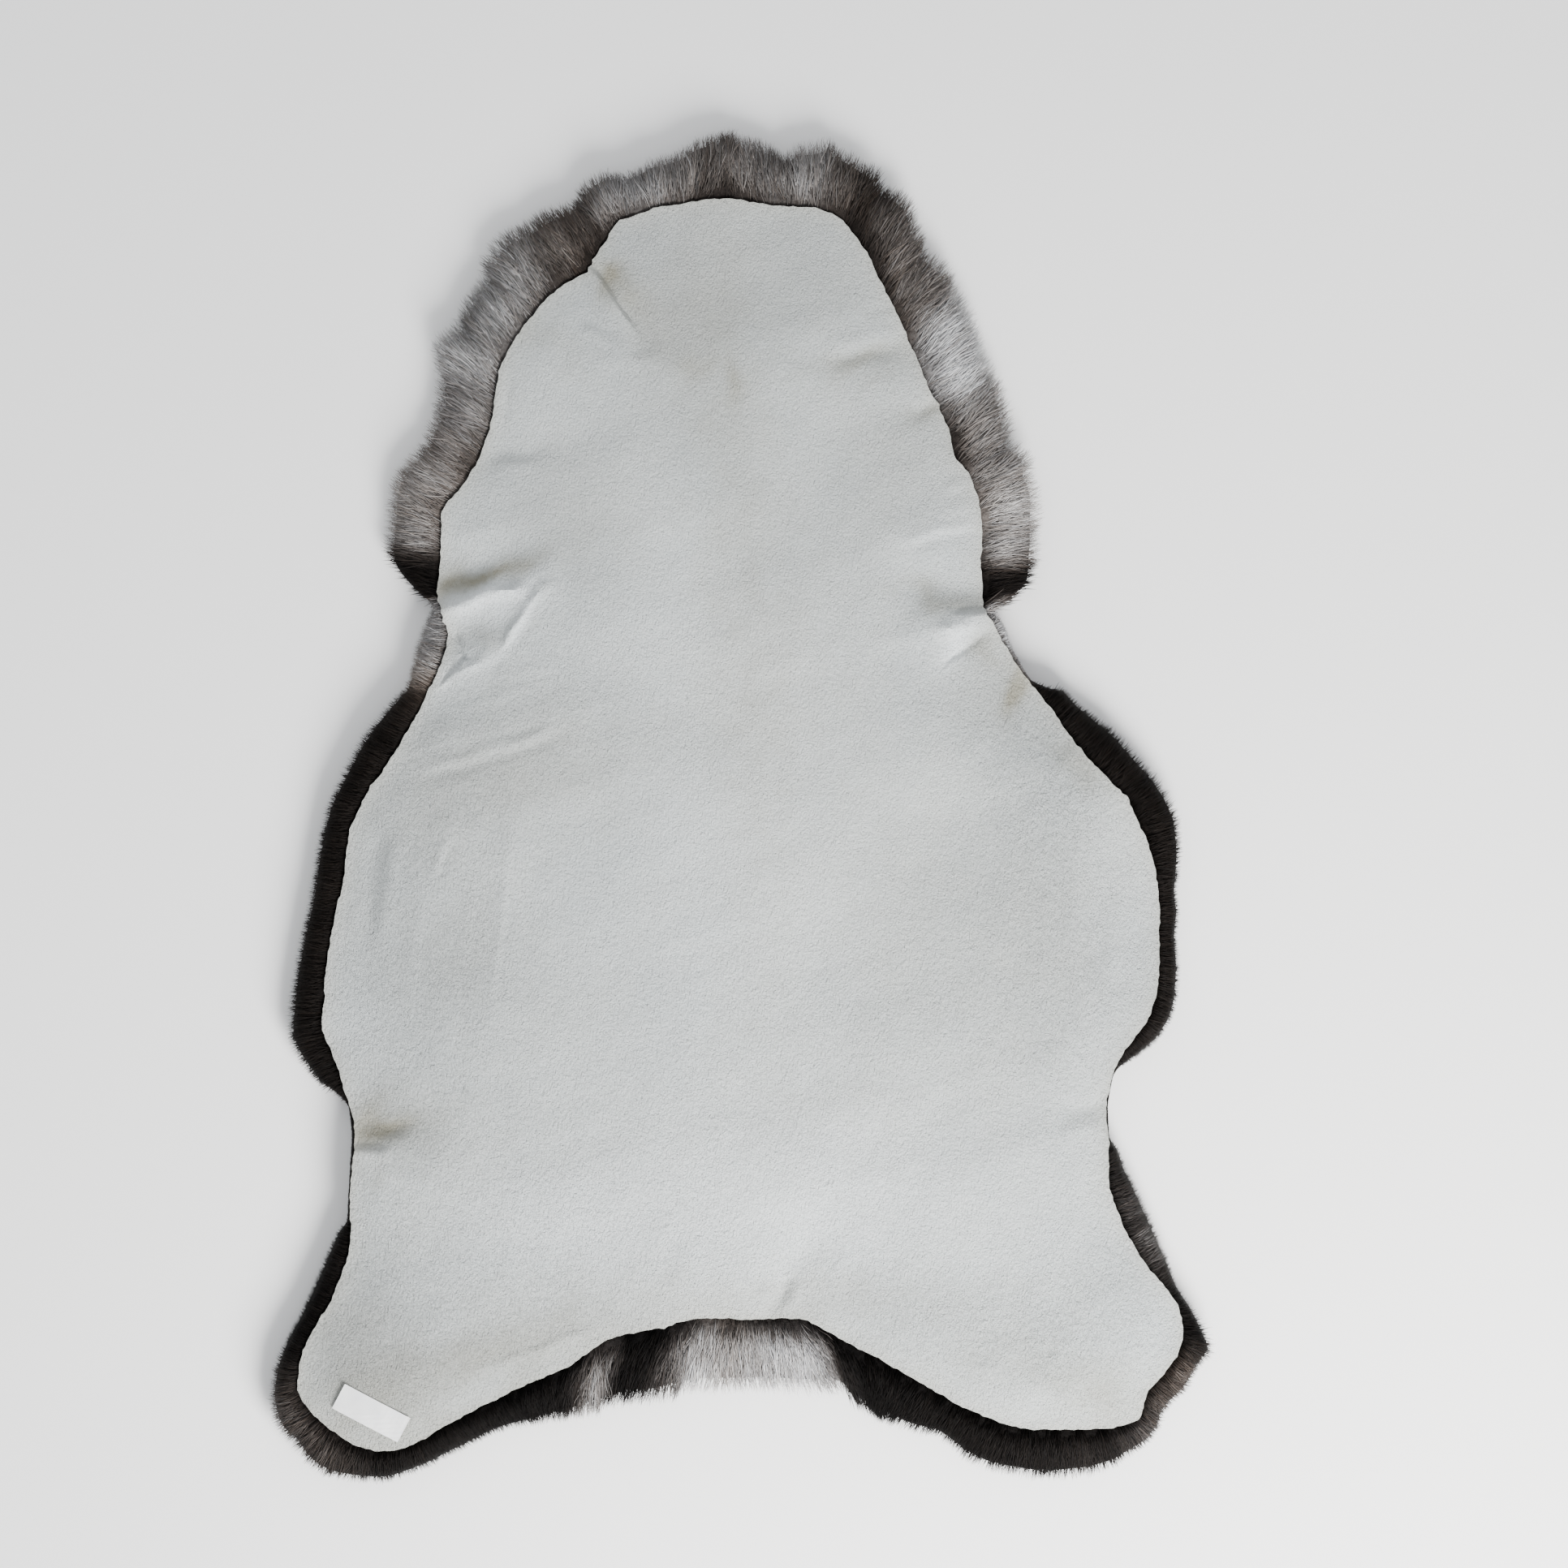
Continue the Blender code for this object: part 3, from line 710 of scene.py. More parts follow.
def smoothed(values, window):
    """Mean over a number of places to each side, round the ring."""
    return sum(np.roll(values, shift, axis=0) for shift in range(-window, window + 1)) / (2 * window + 1)


away = smoothed(outward(rim, 14), 8)
away /= np.linalg.norm(away, axis=1, keepdims=True)

# %% Colours and brushing round the rim
# Each row: x, y of a place on the edge in mm, direction of the fibres in degrees anticlockwise from +X (None is
# straight out), tone at the roots and at the tips from black at 0 to white at 1, and how brown it is
# The darker roots are partly the wool's own colour and partly painted shade under the leather's edge.
WOOL_PLACES = [
    # End of the neck
    (-45, 470, 92, 0.30, 0.54, 0.40), (-34, 472, 90, 0.12, 0.44, 0.45), (-16, 474, 90, 0.08, 0.46, 0.45),
    (2, 472, 90, 0.14, 0.52, 0.40), (21, 468, 90, 0.28, 0.60, 0.25), (56, 466, 88, 0.36, 0.62, 0.30),
    (72, 460, 77, 0.18, 0.48, 0.50),
    # Right side of the neck and shoulder
    (82, 452, 72, 0.04, 0.20, 0.60), (88, 442, 69, 0.03, 0.20, 0.60), (94, 430, 65, 0.05, 0.29, 0.45),
    (112, 398, 58, 0.18, 0.42, 0.45), (124, 372, 50, 0.26, 0.56, 0.40), (134, 350, 46, 0.53, 0.88, 0.08),
    (146, 322, 42, 0.64, 0.97, 0.06), (154, 302, 45, 0.36, 0.82, 0.25), (162, 283, 47, 0.12, 0.58, 0.45),
    (170, 268, 44, 0.20, 0.58, 0.40), (176, 257, 36, 0.38, 0.68, 0.35), (184, 230, 24, 0.56, 0.76, 0.55),
    (185, 205, 12, 0.54, 0.70, 0.35), (186, 190, 8, 0.34, 0.54, 0.35), (186, 180, 10, 0.10, 0.22, 0.55),
    (186, 172, 12, 0.03, 0.05, 0.40), (186, 160, 16, 0.02, 0.04, 0.40),
    # Right waist
    (190, 150, 20, 0.50, 0.80, 0.10), (204, 124, None, 0.50, 0.80, 0.10), (219, 103, None, 0.40, 0.60, 0.20),
    # Right side of the belly
    (226, 93, None, 0.02, 0.05, 0.50), (243, 71, None, 0.02, 0.05, 0.50), (296, 8, None, 0.02, 0.05, 0.60),
    (324, -105, None, 0.03, 0.07, 0.60), (308, -180, None, 0.02, 0.06, 0.50), (288, -206, -35, 0.02, 0.05, 0.30),
    # Right hip and hind leg
    (284, -263, 40, 0.02, 0.08, 0.20), (285, -297, None, 0.02, 0.12, 0.20), (294, -323, None, 0.03, 0.30, 0.10),
    (308, -350, None, 0.04, 0.36, 0.10), (322, -367, 40, 0.03, 0.26, 0.10), (332, -379, 20, 0.02, 0.06, 0.20),
    (342, -411, -18, 0.02, 0.04, 0.30), (340, -424, -28, 0.03, 0.16, 0.60), (335, -432, -32, 0.10, 0.36, 0.80),
    (322, -450, -38, 0.08, 0.30, 0.60), (307, -478, -48, 0.04, 0.30, 0.20), (298, -482, -58, 0.03, 0.20, 0.10),
    (284, -485, -70, 0.02, 0.08, 0.30), (209, -483, None, 0.01, 0.04, 0.30), (128, -444, None, 0.01, 0.03, 0.30),
    # Tail
    (96, -427, -76, 0.00, 0.01, 0.30), (72, -413, -66, 0.00, 0.03, 0.20), (60, -406, -62, 0.01, 0.16, 0.15),
    (50, -402, -64, 0.03, 0.48, 0.12), (40, -400, -68, 0.05, 0.70, 0.12), (28, -400, -76, 0.05, 0.72, 0.15),
    (14, -400, -84, 0.12, 0.80, 0.15), (2, -400, -88, 0.26, 0.78, 0.25), (-10, -400, -91, 0.16, 0.70, 0.45),
    (-26, -399, -97, 0.34, 0.80, 0.25), (-40, -400, -106, 0.12, 0.72, 0.15), (-50, -402, -111, 0.04, 0.40, 0.12),
    (-60, -405, -112, 0.01, 0.10, 0.20), (-68, -408, -108, 0.00, 0.02, 0.20), (-88, -411, -100, 0.00, 0.02, 0.20),
    (-98, -414, -100, 0.05, 0.34, 0.10), (-112, -420, -102, 0.14, 0.64, 0.25), (-124, -429, -104, 0.03, 0.24, 0.20),
    (-138, -437, -98, 0.00, 0.02, 0.20), (-154, -444, -88, 0.00, 0.02, 0.20), (-180, -456, None, 0.00, 0.02, 0.20),
    # Left hind leg
    (-235, -484, None, 0.01, 0.03, 0.30), (-285, -502, None, 0.01, 0.05, 0.30), (-305, -497, None, 0.03, 0.16, 0.40),
    (-325, -483, None, 0.06, 0.26, 0.40), (-342, -466, None, 0.07, 0.32, 0.40), (-346, -450, None, 0.05, 0.21, 0.40),
    (-345, -430, None, 0.02, 0.04, 0.30), (-308, -345, None, 0.01, 0.04, 0.40),
    # Left hip and side of the belly
    (-304, -253, None, 0.02, 0.05, 0.40), (-324, -111, 180, 0.02, 0.06, 0.60), (-291, 14, 168, 0.02, 0.06, 0.60),
    (-262, 59, 160, 0.03, 0.07, 0.60),
    # Left waist
    (-255, 74, 155, 0.04, 0.09, 0.80), (-248, 86, 150, 0.16, 0.36, 1.00), (-243, 96, 160, 0.30, 0.56, 0.90),
    (-236, 118, 170, 0.44, 0.76, 0.30), (-231, 134, 175, 0.48, 0.82, 0.12), (-236, 152, 178, 0.42, 0.76, 0.10),
    (-239, 160, 178, 0.30, 0.60, 0.10),
    # Left shoulder
    (-239, 166, 168, 0.02, 0.04, 0.40), (-238, 182, 168, 0.02, 0.05, 0.40), (-238, 192, 167, 0.10, 0.24, 0.40),
    (-237, 202, 164, 0.32, 0.58, 0.35), (-236, 216, 160, 0.42, 0.66, 0.45), (-235, 230, 156, 0.44, 0.67, 0.55),
    (-222, 250, 152, 0.42, 0.63, 0.55), (-210, 267, 151, 0.30, 0.54, 0.50), (-200, 288, 149, 0.38, 0.62, 0.30),
    (-195, 310, 142, 0.42, 0.66, 0.20), (-191, 339, 133, 0.45, 0.66, 0.12),
    # Left side of the neck
    (-176, 367, 129, 0.45, 0.67, 0.12), (-160, 388, 127, 0.38, 0.60, 0.18), (-144, 404, 125, 0.24, 0.48, 0.35),
    (-128, 414, 123, 0.12, 0.40, 0.65), (-119, 424, 122, 0.03, 0.30, 0.65), (-110, 438, 118, 0.06, 0.38, 0.50),
    (-100, 452, 111, 0.24, 0.56, 0.30), (-80, 462, 103, 0.36, 0.66, 0.15), (-60, 467, 96, 0.34, 0.60, 0.25),
]


def round_the_rim(rows):
    """Columns of a table of places, spread evenly between its rows round the whole rim."""
    where = nearest_rim([on_rug(row[0], row[1]) for row in rows])
    straight = np.degrees(np.arctan2(away[where, 1], away[where, 0]))
    turns = [
        0.0 if row[2] is None else (row[2] - out + 180) % 360 - 180
        for row, out in zip(rows, straight)
    ]
    columns = [turns] + [[row[number] for row in rows] for number in (3, 4, 5)]
    order = np.argsort(where)
    places = np.arange(RIM_COUNT)
    return [np.interp(places, where[order], np.array(column)[order], period=RIM_COUNT) for column in columns]


def turned_by(directions, degrees):
    cos, sin = np.cos(np.radians(degrees)), np.sin(np.radians(degrees))
    x, y = directions[:, 0], directions[:, 1]
    return np.column_stack([x * cos - y * sin, x * sin + y * cos])


def at(values, places):
    """Values of the rim at places between its steps, round the ring."""
    whole = np.floor(places).astype(int)
    share = places - whole
    if values.ndim > 1:
        share = share[..., None]
    return values[whole % RIM_COUNT] * (1 - share) + values[(whole + 1) % RIM_COUNT] * share


brushing, root_tone, tip_tone, brownness = round_the_rim(WOOL_PLACES)
brushed = turned_by(away, smoothed(brushing, 7))

# %% The line of the tips
# Places on the outer line of the wool, in pixels of the photograph, clockwise from the left shoulder's end. The
# line touches the leather where no wool shows.
TIP_LINE = [
    # Left shoulder
    (533, 746), (513, 732), (491, 713), (474, 692), (472, 676), (476, 641), (475, 614), (481, 590), (494, 582),
    (497, 566), (518, 553), (522, 531), (533, 510), (536, 491), (533, 475), (541, 459), (536, 438), (534, 415),
    # Left side of the neck
    (550, 408), (566, 387), (569, 371), (577, 360), (588, 342), (600, 324), (609, 297), (623, 283), (646, 276),
    (669, 259), (692, 254), (712, 246), (722, 223), (729, 216), (747, 208), (765, 212), (790, 205), (802, 195),
    # End of the neck
    (818, 192), (839, 184), (848, 173), (864, 165), (889, 161), (919, 163), (940, 168), (962, 178), (969, 192),
    (983, 176), (999, 177), (1004, 173), (1020, 171), (1026, 181), (1046, 186), (1062, 198), (1080, 206),
    # Right side of the neck
    (1080, 226), (1099, 231), (1117, 238), (1125, 254), (1127, 275), (1138, 294), (1140, 307), (1161, 320),
    (1174, 341), (1185, 362), (1195, 383), (1205, 405), (1207, 426), (1217, 438), (1219, 461), (1232, 467),
    # Right shoulder
    (1237, 490), (1242, 512), (1244, 540), (1252, 547), (1268, 556), (1273, 564), (1270, 579), (1280, 597),
    (1283, 617), (1280, 645), (1282, 668), (1280, 696), (1278, 716), (1252, 737), (1222, 754),
    # Right waist
    (1234, 762), (1241, 775), (1247, 795), (1259, 818), (1271, 838),
    # Right side of the belly
    (1292, 845), (1315, 849), (1330, 866), (1353, 883), (1380, 904), (1403, 931), (1430, 962), (1445, 985),
    (1454, 1008), (1457, 1046), (1453, 1084), (1451, 1102), (1455, 1122), (1451, 1153), (1455, 1192), (1453, 1230),
    (1445, 1257), (1430, 1280), (1407, 1299), (1380, 1316), (1372, 1326),
    # Right hip and hind leg
    (1366, 1362), (1367, 1402), (1379, 1414), (1388, 1438), (1406, 1472), (1422, 1508), (1437, 1545), (1449, 1579),
    (1455, 1591), (1471, 1612), (1486, 1640), (1500, 1666), (1483, 1677), (1477, 1689), (1464, 1714), (1448, 1728),
    (1436, 1743), (1428, 1762), (1416, 1781), (1392, 1796), (1371, 1809), (1341, 1819), (1302, 1823), (1269, 1822),
    (1239, 1817), (1213, 1811), (1185, 1795), (1161, 1776), (1149, 1768), (1124, 1764), (1106, 1759), (1091, 1752),
    # Tail
    (1073, 1745), (1048, 1734), (1020, 1720), (980, 1716), (940, 1712), (900, 1714), (860, 1716), (820, 1720),
    (780, 1728), (735, 1740), (690, 1750), (658, 1756),
    # Left hind leg
    (628, 1762), (604, 1770), (584, 1781), (559, 1793), (534, 1806), (509, 1817), (484, 1826), (459, 1828),
    (434, 1826), (409, 1822), (384, 1812), (369, 1797), (361, 1779), (343, 1767), (334, 1745), (330, 1719),
    (334, 1691), (341, 1671), (354, 1644), (369, 1617), (384, 1584), (399, 1550), (413, 1520), (426, 1506),
    # Left hip and side of the belly
    (429, 1460), (432, 1400), (428, 1362), (414, 1350), (389, 1335), (365, 1304), (353, 1278), (354, 1247),
    (360, 1203), (370, 1153), (380, 1104), (387, 1060), (393, 1029), (401, 991), (420, 953), (438, 919),
    # Left waist
    (457, 891), (479, 866), (498, 849), (501, 836), (508, 806), (516, 780), (527, 760),
]
# Notches between tufts, in the same pixels
NOTCHES = [
    (494, 582), (518, 553), (533, 510), (541, 459), (566, 387), (600, 324), (646, 276), (712, 246), (765, 212),
    (839, 184), (900, 162), (969, 192), (1026, 181), (1080, 226), (1138, 294), (1174, 341), (1207, 426),
    (1219, 461), (1244, 540), (1270, 579), (1281, 650), (1280, 696),
]
TIP_HEIGHT = 15 * MM


def from_photo(pixels, height):
    """Places of the photograph, as places at a height over the floor."""
    pixels = np.array(pixels, float)
    middle = PHOTO_SIDE / 2
    offset = np.column_stack([pixels[:, 0] - middle, middle - pixels[:, 1]]) * MM_PER_PIXEL * MM
    return offset * (CAMERA_HEIGHT - height) / (CAMERA_HEIGHT - leather_level) + np.array(PHOTO_MIDDLE) * MM


def distance_to_line(origins, directions, line):
    """Distance from each origin to a closed line, along the origin's own direction."""
    best = np.full(len(origins), MOST_REACH)
    for start, end in zip(line, np.roll(line, -1, axis=0)):
        span, gap = end - start, start - origins
        cross = directions[:, 0] * span[1] - directions[:, 1] * span[0]
        cross = np.where(np.abs(cross) < 1e-9, 1e-9, cross)
        along = (gap[:, 0] * span[1] - gap[:, 1] * span[0]) / cross
        share = (gap[:, 0] * directions[:, 1] - gap[:, 1] * directions[:, 0]) / cross
        hit = (share >= 0) & (share <= 1) & (along > 0)
        best = np.where(hit & (along < best), along, best)
    return best


tip_line = from_photo(TIP_LINE, TIP_HEIGHT)
outside = ~inside_ring(rim, tip_line)
full_reach = distance_to_line(rim, brushed, tip_line)
full_reach = np.where(outside, LEAST_REACH, np.maximum(full_reach, LEAST_REACH))
full_reach = smoothed(full_reach, 1)
print("rim:", RIM_COUNT, "places; reach in mm:", (full_reach.min() / MM).round(1), (full_reach.max() / MM).round(1))
print("places of the rim outside the line of the tips:", int(outside.sum()))

# %% Tufts
TUFT_WIDTHS = (26, 54)


def tuft_cuts():
    """Places of the rim where one tuft ends and the next begins: at the notches, or a random width apart."""
    tips = rim + brushed * full_reach[:, None]
    cuts = {int(np.argmin(np.linalg.norm(tips - notch, axis=1))) for notch in from_photo(NOTCHES, TIP_HEIGHT)}
    cuts = sorted(cuts)
    all_cuts = []
    for cut, following in zip(cuts, cuts[1:] + [cuts[0] + RIM_COUNT]):
        all_cuts.append(cut)
        while following - all_cuts[-1] > TUFT_WIDTHS[1] * 1.3 * MM / RIM_STEP:
            all_cuts.append(all_cuts[-1] + int(rng.uniform(*TUFT_WIDTHS) * MM / RIM_STEP))
    return all_cuts + [cuts[0] + RIM_COUNT]


def plan_tufts():
    """Each tuft leans a little its own way, spreads from its middle, and has its own tone, with painted shade at its
    sides.
    """
    turn = np.zeros(RIM_COUNT)
    tone = np.zeros(RIM_COUNT)
    cuts = tuft_cuts()
    for start, end in zip(cuts, cuts[1:]):
        share = np.linspace(-1, 1, end - start)
        places = np.arange(start, end) % RIM_COUNT
        turn[places] = rng.normal(0, 3) - 5 * share
        # A tone of its own, with painted shade towards both sides, where one tuft meets the next.
        tone[places] = rng.normal(0, 0.04) + 0.03 - 0.10 * np.abs(share) ** 3
    print("tufts:", len(cuts) - 1)
    return smoothed(turn, 2), smoothed(tone, 2)


tuft_turn, tuft_tone_and_gap_shade = plan_tufts()
flow = turned_by(brushed, tuft_turn)
is_pale = np.clip(tip_tone / 0.4, 0, 1)

# %% Height of the wool past the edge
UNDER_LEATHER = 0.2 * MM
FLOOR_CLEARANCE = 0.5 * MM

leather_tree = KDTree(len(net))
for index, place in enumerate(net):
    leather_tree.insert((*place, 0), index)
leather_tree.balance()


def leather_height(x, y):
    return heights[leather_tree.find((x, y, 0))[1]]


rim_top = smoothed(np.array([leather_height(x, y) for x, y in rim]), 3) - LEATHER_THICKNESS - UNDER_LEATHER


def wool_height(places, out, layer):
    """Height of the wool at a distance past the edge, for a layer from 0 on the floor to 1 on top."""
    top = at(rim_top, places)
    share = np.clip(out / at(full_reach, places), 0, 1.1)
    puff = 3.8 * MM * np.clip(out / (6 * MM), 0, 1) * np.clip(at(full_reach, places) / (30 * MM), 0, 1)
    surface = top + puff - top * 0.62 * share**2.4
    return FLOOR_CLEARANCE + (surface - FLOOR_CLEARANCE) * layer


# %% [markdown]
# ## The body of the wool
#
# Under the fibres lies a dense mass of wool. It is a slab the shape of the hide with a round, lumpy rim, and it
# keeps daylight from showing between the fibres. It is made as rings: the first just under the leather, the
# next ones over the rim and down to the floor, and the last one back under the hide. Both ends are filled
# with a net, and the lower net has the hollows that wool pressed on a floor has.

# %% Rings of the body
BODY_RINGS = [
    # (share of the wool's reach, layer)
    (0.10, 0.95), (0.25, 0.93), (0.42, 0.92), (0.58, 0.90), (0.70, 0.84), (0.78, 0.74), (0.83, 0.60),
    (0.84, 0.44), (0.82, 0.28), (0.76, 0.14), (0.66, 0.05), (0.45, 0.0),
]
BODY_EVERY = 2
CEILING_STEP = 22 * MM
CEILING_DROP = 2.2 * MM
CEILING_FEEL = 13 * MM
UNDERSIDE_STEP = 9 * MM
UNDERSIDE_HOLLOW = 7.0 * MM
LUMP_SIZE = 26


def under_leather(spots):
    """Height that stays below the leather's underside all round each spot, its creases too."""
    lowest = []
    for x, y in spots:
        near = leather_tree.find_range((x, y, 0), CEILING_FEEL)
        lowest.append(min(heights[index] for _, index, _ in near))
    return np.array(lowest) - LEATHER_THICKNESS - CEILING_DROP


def body_of_wool():
    picks = np.arange(0, RIM_COUNT - BODY_EVERY + 1, BODY_EVERY)
    count = len(picks)
    course = smoothed(flow, 8)[picks]
    ceiling_ring = rim[picks] - away[picks] * 3 * MM
    rings = [np.column_stack([ceiling_ring, np.minimum(rim_top[picks] - CEILING_DROP, under_leather(ceiling_ring))])]
    # The ring just under the leather is darker: painted shade under the leather's edge.
    tones = [root_tone[picks] * 0.7]
    for share, layer in BODY_RINGS:
        out = full_reach[picks] * share
        spot = rim[picks] + course * out[:, None]
        lump = 1 + 0.06 * slow_noise(spot / MM, 7, int(share * 100 + layer * 10))
        height = wool_height(picks.astype(float), out, layer) * lump
        rings.append(np.column_stack([spot, height if layer else np.zeros(count)]))
        blend = share**0.8
        # The rings are a little darker than the fibres over them: painted shade in the gaps between fibres.
        tones.append((root_tone[picks] * (1 - blend) + tip_tone[picks] * blend) * 0.86)
    points = np.vstack(rings)
    faces = []
    for ring_number in range(len(rings) - 1):
        a = np.arange(count) + ring_number * count
        b = np.roll(np.arange(count), -1) + ring_number * count
        faces.append(np.column_stack([a, b, b + count]))
        faces.append(np.column_stack([a, b + count, a + count]))

    ceiling = staggered_net(ceiling_ring, CEILING_STEP)
    ceiling_heights = under_leather(ceiling)
    upper = fill(ceiling_ring, ceiling)
    upper = np.where(upper < count, upper, upper - count + len(points))
    points = np.vstack([points, np.column_stack([ceiling, ceiling_heights])])
    faces.append(upper)

    foot_ring = rings[-1][:, :2]
    foot = staggered_net(foot_ring, UNDERSIDE_STEP)
    inward = np.clip(edge_distance(foot, foot_ring) / (14 * MM), 0, 1)
    ridges = np.abs(slow_noise(foot / MM, LUMP_SIZE, 21)) + 0.5 * np.abs(slow_noise(foot / MM, LUMP_SIZE * 0.6, 22))
    hollow = np.clip(0.36 - ridges, 0, 1) / 0.36
    foot_heights = hollow**1.3 * UNDERSIDE_HOLLOW * inward
    lower = fill(foot_ring, foot)[:, ::-1]
    lower = np.where(lower < count, lower + count * (len(rings) - 1), lower - count + len(points))
    points = np.vstack([points, np.column_stack([foot, foot_heights])])
    faces.append(lower)

    nearest = nearest_rim(np.vstack([ceiling, foot]))
    middle_tone = tip_tone[nearest] * 0.6 + 0.06
    tone = np.concatenate(tones + [middle_tone])
    brown = np.concatenate([np.tile(brownness[picks], len(rings)), brownness[nearest]])
    piece = new_piece("wool_body", points, np.vstack(faces))
    add_attribute(piece.data, "tone", tone)
    add_attribute(piece.data, "brown", brown)
    piece.data.shade_smooth()
    return piece


wool_body = body_of_wool()
print("wool body:", len(wool_body.data.polygons), "triangles")

# %% [markdown]
# ## The colour of the wool
#
# An Icelandic fleece mixes black, grey, silver and brown fibres. One scale of tones, from black to white, is
# kept in two versions, a cool one and a brown one, and every fibre takes its own tone and its own share of
# brown. On the fibres both numbers are kept in a UV map, tone across and brown up. On the body of the wool they
# are attributes, and a stretched noise adds the look of fibres.

# %% Wool materials
COOL_TONES = [
    (0.00, (0.0004, 0.0003, 0.0003)), (0.25, (0.031, 0.028, 0.027)), (0.50, (0.114, 0.109, 0.108)),
    (0.75, (0.290, 0.287, 0.292)), (1.00, (0.700, 0.710, 0.730)),
]
BROWN_TONES = [
    (0.00, (0.0022, 0.0015, 0.0012)), (0.25, (0.041, 0.031, 0.025)), (0.50, (0.140, 0.113, 0.096)),
    (0.75, (0.312, 0.272, 0.243)), (1.00, (0.610, 0.575, 0.535)),
]


def tone_scale(tree, value, stops):
    made = tree.nodes.new("ShaderNodeValToRGB")
    ramp = made.color_ramp
    while len(ramp.elements) < len(stops):
        ramp.elements.new(0.5)
    for element, (place, colour) in zip(ramp.elements, stops):
        element.position = place
        element.color = (*colour, 1)
    tree.links.new(value, made.inputs["Fac"])
    return made.outputs["Color"]


def wool_colour(tree, tone, brown):
    cool = tone_scale(tree, tone, COOL_TONES)
    warm = tone_scale(tree, tone, BROWN_TONES)
    return mix_colour(tree, brown, cool, warm)


def fibre_material():
    made, tree, shader = start_material("wool fibre", 0.6)
    shader.inputs["Specular IOR Level"].default_value = 0.06
    uv = tree.nodes.new("ShaderNodeUVMap")
    uv.uv_map = "OFBake"
    split = tree.nodes.new("ShaderNodeSeparateXYZ")
    tree.links.new(uv.outputs["UV"], split.inputs["Vector"])
    tree.links.new(wool_colour(tree, split.outputs["X"], split.outputs["Y"]), shader.inputs["Base Color"])
    return made


def body_material():
    made, tree, shader = start_material("wool mass", 0.9)
    shader.inputs["Specular IOR Level"].default_value = 0.08
    where = tree.nodes.new("ShaderNodeTexCoord").outputs["Object"]
    streak = noise(tree, where, 240, 4, 0.7)
    own = read_attribute(tree, "tone")
    vivid = spread(tree, own, 0.0, 0.35, 0.1, 1.0)
    streaks = calculate(tree, "MULTIPLY", vivid, spread(tree, streak, 0.3, 0.7, -0.10, 0.08))
    tone = calculate(tree, "ADD", own, streaks)
    tree.links.new(wool_colour(tree, tone, read_attribute(tree, "brown")), shader.inputs["Base Color"])
    tree.links.new(bump(tree, streak, 0.9, 0.002), shader.inputs["Normal"])
    return made


wool_fibre = fibre_material()
wool_body.data.materials.append(body_material())
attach(wool_body, "root")
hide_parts("fleece")

# %% [markdown]
# ## The fibres
#
# Hair could be grown with a particle system, but it would be lost when the rug is exported as a mesh. So each
# visible end of a lock is a real spike: three sides, three short lengths and a point, sixteen triangles in
# all. Tens of thousands of them are worked out together as arrays. A fibre follows the flow away from the
# edge, leans to the middle of its lock as it goes, and waves a little.

# %% Spikes from arrays
RING_CORNERS = np.array([(-0.5, -0.14), (0.5, -0.14), (0.0, 0.24)])
THICKEST_AT = 0.45


def spike_faces(rings):
    """Triangles of one spike: rings of three corners, closed at the root, then the point."""
    faces = [(0, 2, 1)]
    for ring in range(rings - 1):
        for side in range(3):
            a, b = 3 * ring + side, 3 * ring + (side + 1) % 3
            faces += [(a, b, b + 3), (a, b + 3, a + 3)]
    last = 3 * (rings - 1)
    for side in range(3):
        faces.append((last + side, last + (side + 1) % 3, last + 3))
    return np.array(faces)


def spike_arrays(paths, widths, tones, browns):
    """Points, triangles and UVs of spikes. paths is (count, steps, 3), tones (count, steps)."""
    count, steps = paths.shape[:2]
    rings = steps - 1
    corners_each = rings * 3 + 1
    forward = np.gradient(paths, axis=1)
    forward /= np.linalg.norm(forward, axis=2, keepdims=True) + 1e-12
    side = np.cross(forward, (0.0, 0.0, 1.0))
    side /= np.linalg.norm(side, axis=2, keepdims=True) + 1e-12
    up = np.cross(side, forward)
    points = np.empty((count, corners_each, 3))
    for ring in range(rings):
        taper = 1 - 0.6 * abs(ring / (steps - 1) - THICKEST_AT)
        width = (widths * taper)[:, None]
        for corner, (across, above) in enumerate(RING_CORNERS):
            spot = paths[:, ring] + side[:, ring] * across * width + up[:, ring] * above * width
            points[:, ring * 3 + corner] = spot
    points[:, -1] = paths[:, -1]
    points[:, :, 2] = np.maximum(points[:, :, 2], 0.05 * MM)
    faces = (spike_faces(rings)[None] + np.arange(count)[:, None, None] * corners_each).reshape(-1, 3)
    step_of_corner = np.append(np.repeat(np.arange(rings), 3), rings)
    lean_of_corner = np.append(np.tile([-1, 1, 0], rings), 0) * 0.012
    u = np.clip(tones[:, step_of_corner], 0.01, 0.99)
    v = np.clip(browns[:, None] + lean_of_corner, 0.01, 0.99)
    uv = np.stack([u, v], axis=2).reshape(-1, 2)
    return points.reshape(-1, 3), faces, uv


